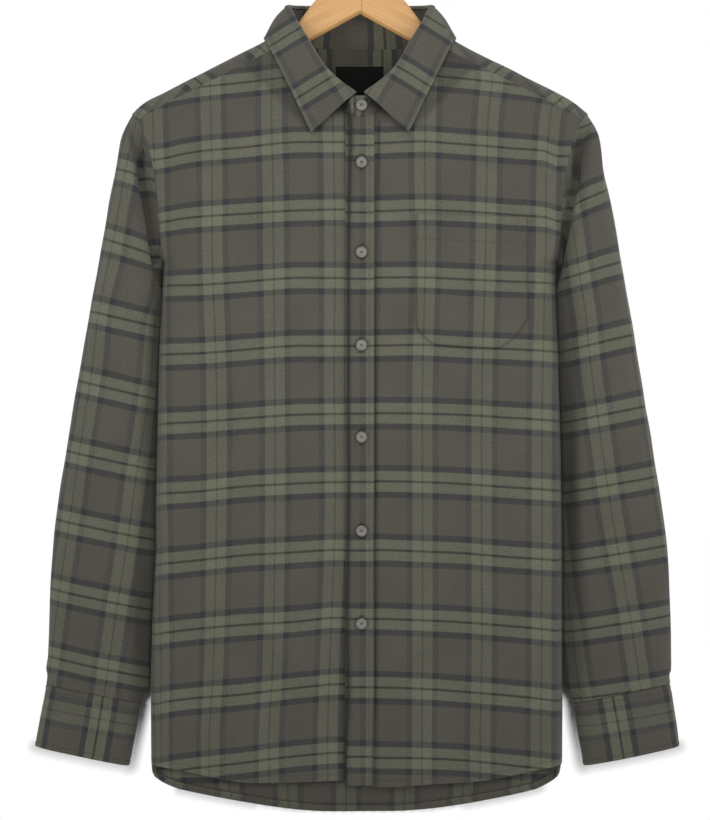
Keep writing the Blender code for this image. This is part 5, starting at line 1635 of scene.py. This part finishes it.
def edge_path(name, distance_rows=None, distance_columns=None, start=0, stop=None):
    """A path at a distance in millimetres from one edge of a shell.

    `distance_rows` counts from the first row (or, if negative, from the last) and runs along the
    columns; `distance_columns` does the same across the rows.
    """
    _, points, _ = SHELLS[name]
    path = []
    if distance_rows is not None:
        along = walk(points if distance_rows > 0 else points[::-1], 0)
        count = points.shape[1]
        for column in range(start, count if stop is None else stop):
            row = np.interp(abs(distance_rows), along[:, column], np.arange(len(along)))
            path.append((row if distance_rows > 0 else len(along) - 1 - row, column))
        return path
    along = walk(points if distance_columns > 0 else points[:, ::-1], 1)
    for row in range(start, points.shape[0] if stop is None else stop):
        column = np.interp(abs(distance_columns), along[row], np.arange(along.shape[1]))
        path.append((row, column if distance_columns > 0 else along.shape[1] - 1 - column))
    return path


print("stitch sizes in metres:", ROW_SIZES)

# %% Rows of stitches
lines = []


def sew(name, **where):
    """Lays a row of stitches on a shell, along one of its edges."""
    lines.append(on_shell(name, edge_path(name, **where)))


for word in ("right", "left"):
    sew(f"cloth_{word}_front", distance_rows=HEM_ROW)
    for distance in (BAND_ROW, -BAND_ROW):
        path = edge_path(f"cloth_{word}_cuff", distance_rows=distance)
        lines.append(on_shell(f"cloth_{word}_cuff", path + path[:1]))
    for distance in (SEAM_ROW, -SEAM_ROW):
        sew(f"cloth_{word}_sleeve_placket", distance_columns=distance, start=3)
    sew(f"cloth_{word}_sleeve_placket", distance_rows=-2.5)
sew("cloth_back", distance_rows=HEM_ROW)
for distance in (BAND_ROW, -BAND_ROW):
    sew("cloth_front_placket", distance_columns=distance, start=2)
# The yoke's front edges are sewn as far as the neck's corners, 53 columns from each end.
count = SHELLS["cloth_yoke"][1].shape[1]
sew("cloth_yoke", distance_rows=SEAM_ROW, start=1, stop=53)
sew("cloth_yoke", distance_rows=SEAM_ROW, start=count - 53, stop=count - 1)
sew("cloth_yoke", distance_rows=-SEAM_ROW)
sew("cloth_collar_stand", distance_rows=CLOSE_ROW)
sew("cloth_collar_leaf", distance_rows=-LEAF_ROW, start=5, stop=SHELLS["cloth_collar_leaf"][1].shape[1] - 5)
for distance in (LEAF_ROW, -LEAF_ROW):
    sew("cloth_collar_leaf", distance_columns=distance, start=11, stop=33)
# Pocket: along one side, the bottom and the other side, then the mouth's hem and its corner bars.
pocket_rows, pocket_columns = SHELLS["cloth_pocket"][1].shape[:2]
side_a = edge_path("cloth_pocket", distance_columns=CLOSE_ROW)
side_b = edge_path("cloth_pocket", distance_columns=-CLOSE_ROW)
under_path = edge_path("cloth_pocket", distance_rows=CLOSE_ROW, start=4, stop=pocket_columns - 4)
lines.append(on_shell("cloth_pocket", side_a[3:][::-1] + under_path + side_b[3:]))
sew("cloth_pocket", distance_rows=-MOUTH_ROW)
for distance in (9.0, -9.0):
    sew("cloth_pocket", distance_columns=distance, start=pocket_rows - 14)
rows_graph = stitch_graph()
stitches = apply_graph(lines_object("stitch_lines", lines), rows_graph, "rows_of_stitches",
                       {**ROW_SIZES, "Material": thread})
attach(stitches, "root")
print("stitch rows:", len(lines), "faces:", len(stitches.data.polygons))

# %% Buttonholes and button thread
# A buttonhole is 17 mm long, with a bar of tight stitches 1.3 mm to each side of its cut. The cross on a
# button reaches 1.2 mm from its middle and lies in the hollow, 0.9 mm below the rim.
HOLE_HALF, HOLE_BAR, CROSS_HALF, HOLLOW = 8.5, 1.3, 1.2, 0.0009
hole_lines, cross_lines = [], []
points = SHELLS["cloth_front_placket"][1]
middle_row = 40
column = np.argmin(np.abs(points[middle_row, :, 0] - BUTTON_X))
for down in FRONT_BUTTON_DOWNS:
    for side in (-HOLE_BAR, HOLE_BAR):
        path = []
        for step in np.linspace(-HOLE_HALF, HOLE_HALF, 18):
            row = np.interp(-(down + step), -points[:, column, 2], np.arange(len(points)))
            path.append((row, np.interp(BUTTON_X + side, points[int(row), :, 0], np.arange(points.shape[1]))))
        hole_lines.append(on_shell("cloth_front_placket", path, 0.12))
for name in BUTTON_NODES:
    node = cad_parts[name]
    corners = np.array([vertex.co for vertex in node.data.vertices])
    low, high = corners.min(axis=0), corners.max(axis=0)
    centre = (low + high) / 2
    facing = -1.0 if "cuff" not in name else 1.0
    face_y = low[1] if facing < 0 else high[1]
    base_y = face_y - facing * HOLLOW
    for lean in (1.0, -1.0):
        ends = [Vector((centre[0] + half * 0.001, base_y + facing * 0.0002, centre[2] + half * lean * 0.001))
                for half in (-CROSS_HALF, CROSS_HALF)]
        cross_lines.append([ends[0].lerp(ends[1], share) for share in (0.0, 0.5, 1.0)])
holes = apply_graph(lines_object("hole_lines", hole_lines), rows_graph, "buttonhole_stitches",
                    {"Spacing": 0.0006, "Stitch length": 0.0006, "Thread thickness": 0.0016,
                     "Material": button_thread})
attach(holes, "root")
crosses = apply_graph(lines_object("cross_lines", cross_lines), rows_graph, "button_stitches",
                      {"Spacing": 0.0008, "Stitch length": 0.0014, "Thread thickness": 0.0008,
                       "Material": button_thread})
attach(crosses, "root")
print("buttonholes:", len(hole_lines) // 2, "button crosses:", len(cross_lines) // 2)

# %% [markdown]
# ## Studio
# An even white surround gives the shadowless fill of a light tent. A soft box at the camera and one at
# each side of it, one at the shirt's left and a small one above bring out the creases, and one behind
# lights the back. The floor is pale and far below, and the surround so bright that it shows next to no
# shadow. A light map of a studio could do all this, but lamps with names are easier to move.

# %% Light and stage
# The floor: a matt white disk, 8 m wide and 1.7 m below the rail.
rim = [(4.0 * math.cos(a), 4.0 * math.sin(a), -1.7) for a in np.linspace(0, 2 * math.pi, 49)[:-1]]
mesh = bpy.data.meshes.new("studio_floor")
mesh.from_pydata(rim, [], [tuple(range(len(rim)))])
floor = new_object("studio_floor", mesh)
paint, tree, shader = new_material("studio_floor paint")
shader.inputs["Base Color"].default_value = srgb("#f4f4f2")
shader.inputs["Roughness"].default_value = 0.9
shader.inputs["Specular IOR Level"].default_value = 0.1
shader.inputs["Emission Color"].default_value = (1.0, 1.0, 1.0, 1.0)
shader.inputs["Emission Strength"].default_value = 0.15
mesh.materials.append(paint)

# Painted shadow: the narrow soft shade that a backdrop close behind would catch under the cuffs and the
# hem, and beside the inner edges of the cuffs, is painted on clear veils just behind the cloth. Its depth
# is in the attribute `Shade`.
EYE = np.array((-5.06, -2945.0, -(HOOK_DROP + EYE_DOWN)))   # the camera's place, in millimetres


VEIL_RIM, VEIL_STEP = 12.0, 2.5


def shade_veil(name, depth, lines):
    """A clear veil at a depth behind the shirt, with painted shadow near lines of (points, strength, even,
    reach).
    """
    seen = []
    for points, strength, even, reach in lines:
        points = np.asarray(points, float) * (1.0, 1.0, -1.0) - (0.0, 0.0, HOOK_DROP)
        share = (depth - EYE[1]) / (points[:, 1] - EYE[1])
        strength = np.broadcast_to(strength, len(points))
        seen.append(((EYE + (points - EYE) * share[:, None])[:, ::2], strength, even, reach))
    every = np.concatenate([points for points, *_ in seen])
    low, high = every.min(axis=0) - VEIL_RIM, every.max(axis=0) + VEIL_RIM
    across, upward = np.arange(low[0], high[0], VEIL_STEP), np.arange(low[1], high[1], VEIL_STEP)
    place = np.array([(x, z) for z in upward for x in across])
    shade = np.zeros(len(place))
    for points, strength, even, reach in seen:
        for (x, z), strong in zip(points, strength):
            away = np.hypot(place[:, 0] - x, place[:, 1] - z)
            shade = np.maximum(shade, strong * np.clip((reach - away) / (reach - even), 0.0, 1.0))
    corners = np.arange(len(place)).reshape(len(upward), len(across))
    faces = grid_faces(corners)
    faces = faces[shade[faces].max(axis=1) > 0]
    mesh = bpy.data.meshes.new(name)
    mesh.from_pydata([(x / 1000, depth / 1000, z / 1000) for x, z in place], [], faces.tolist())
    mesh.attributes.new("Shade", "FLOAT", "POINT").data.foreach_set("value", shade)
    veil = new_object(name, mesh)
    tint, tree, _ = new_material(f"{name} tint")
    held = add_node(tree, "ShaderNodeAttribute", attribute_name="Shade").outputs["Fac"]
    behind_it = add_node(tree, "ShaderNodeNewGeometry").outputs["Backfacing"]
    front = add_node(tree, "ShaderNodeMath", {0: 1.0, 1: behind_it}, operation="SUBTRACT")
    lost = add_node(tree, "ShaderNodeMath", {0: held, 1: front.outputs[0]}, operation="MULTIPLY")
    passed = add_node(tree, "ShaderNodeMath", {0: 1.0, 1: lost.outputs[0]}, operation="SUBTRACT")
    clear = add_node(tree, "ShaderNodeBsdfTransparent", {"Color": passed.outputs[0]})
    show(tree, clear)
    mesh.materials.append(tint)
    print(name, "faces:", len(faces), "deepest shade:", round(float(shade.max()), 2))
    return veil


behind = []
for word, side in (("right", -1), ("left", 1)):
    sleeve, cuff = SHELLS[f"cloth_{word}_sleeve"][1], SHELLS[f"cloth_{word}_cuff"][1]
    beside = [row[np.argmin(side * row[:, 0])] for row in np.concatenate([sleeve[-8:], cuff])]
    under = sorted(cuff[-1][cuff[-1][:, 1] < 2.0].tolist(), key=lambda point: side * point[0])
    fading = np.interp(np.linspace(0.0, 1.0, len(beside)), (0.0, 0.4, 1.0), (0.97, 0.93, 0.4))
    behind.append(shade_veil(f"shade_{word}_cuff", 8.0, [
        (beside, fading, 3.5, 12.5), (under[:-8], 0.42, 0.0, 10.0)]))
hem = SHELLS["cloth_back"][1][0]
parts = [(hem[(np.abs(hem[:, 0]) >= low) & (np.abs(hem[:, 0]) <= high)], 0.42, 0.0, reach)
         for low, high, reach in ((60, 110, 4.0), (110, 190, 8.5), (0, 60, 2.5))]
behind.append(shade_veil("shade_hem", 44.0, parts))

# The tent's far side: a plain white dome that only closes the view.
bpy.ops.mesh.primitive_uv_sphere_add(segments=48, ring_count=24, radius=9.0, location=(0, 0, -0.5))
dome = bpy.context.object
dome.name = "studio_dome"
paint, tree, shader = new_material("studio_dome paint")
glow = add_node(tree, "ShaderNodeEmission", {"Color": (1.0, 1.0, 1.0, 1.0), "Strength": 1.0})
show(tree, glow)
dome.data.materials.append(paint)
for item in (floor, dome, *behind):
    for ray in ("visible_diffuse", "visible_glossy", "visible_transmission", "visible_shadow"):
        setattr(item, ray, False)

world = bpy.data.worlds.new("Light tent")
bpy.context.scene.world = world
world.use_nodes = True
world.node_tree.nodes.clear()
air = add_node(world.node_tree, "ShaderNodeBackground", {"Color": (1, 1, 1, 1), "Strength": 0.71})
add_node(world.node_tree, "ShaderNodeOutputWorld", {"Surface": air.outputs[0]})


def soft_light(name, at, aim, size, power, beam):
    """A soft box behind a grid, which narrows its beam to so many degrees."""
    lamp = bpy.data.lights.new(name, "AREA")
    lamp.shape, lamp.size, lamp.energy = "DISK", size, power
    lamp.spread = math.radians(beam)
    made = new_object(name, lamp)
    made.location = at
    made.rotation_euler = (Vector(aim) - Vector(at)).to_track_quat("-Z", "Y").to_euler()
    made.visible_camera = False


soft_light("key_light", (1.2, -1.9, -0.5), (0.2, 0.0, -0.3), 0.6, 0.34, 32.0)
soft_light("fill_light", (-1.2, -1.9, -0.5), (-0.2, 0.0, -0.3), 0.6, 0.44, 32.0)
soft_light("front_light", (0.0, -2.6, -0.55), (0.0, 0.0, -0.4), 0.4, 1.0, 60.0)
soft_light("side_light", (2.0, -0.5, -0.3), (0.3, 0.0, -0.35), 0.6, 0.4, 50.0)
soft_light("top_light", (0.0, -1.0, 0.9), (0.0, 0.04, -0.1), 0.3, 0.05, 16.0)
soft_light("back_light", (0.9, 2.2, 0.3), (0.0, 0.0, -0.38), 0.8, 1.1, 40.0)

# %% Camera
# A long lens, which shows 836.4 mm of height at a distance of 2900 mm.
SENSOR, AWAY, SHOWN = 36.0, 2900.0, 836.4
lens_view = bpy.data.cameras.new("front_camera")
lens_view.sensor_fit = "AUTO"
lens_view.sensor_width = SENSOR
lens_view.lens = SENSOR * AWAY / SHOWN
lens_view.clip_start, lens_view.clip_end = 0.1, 30.0
camera = new_object("front_camera", lens_view)
camera.location = EYE / 1000
camera.rotation_euler = (math.pi / 2, 0.0, 0.0)
bpy.context.scene.camera = camera
bpy.context.scene.view_settings.view_transform = "Standard"
bpy.context.scene.view_settings.look = "None"
print("camera", tuple(camera.location), "lens", lens_view.lens)
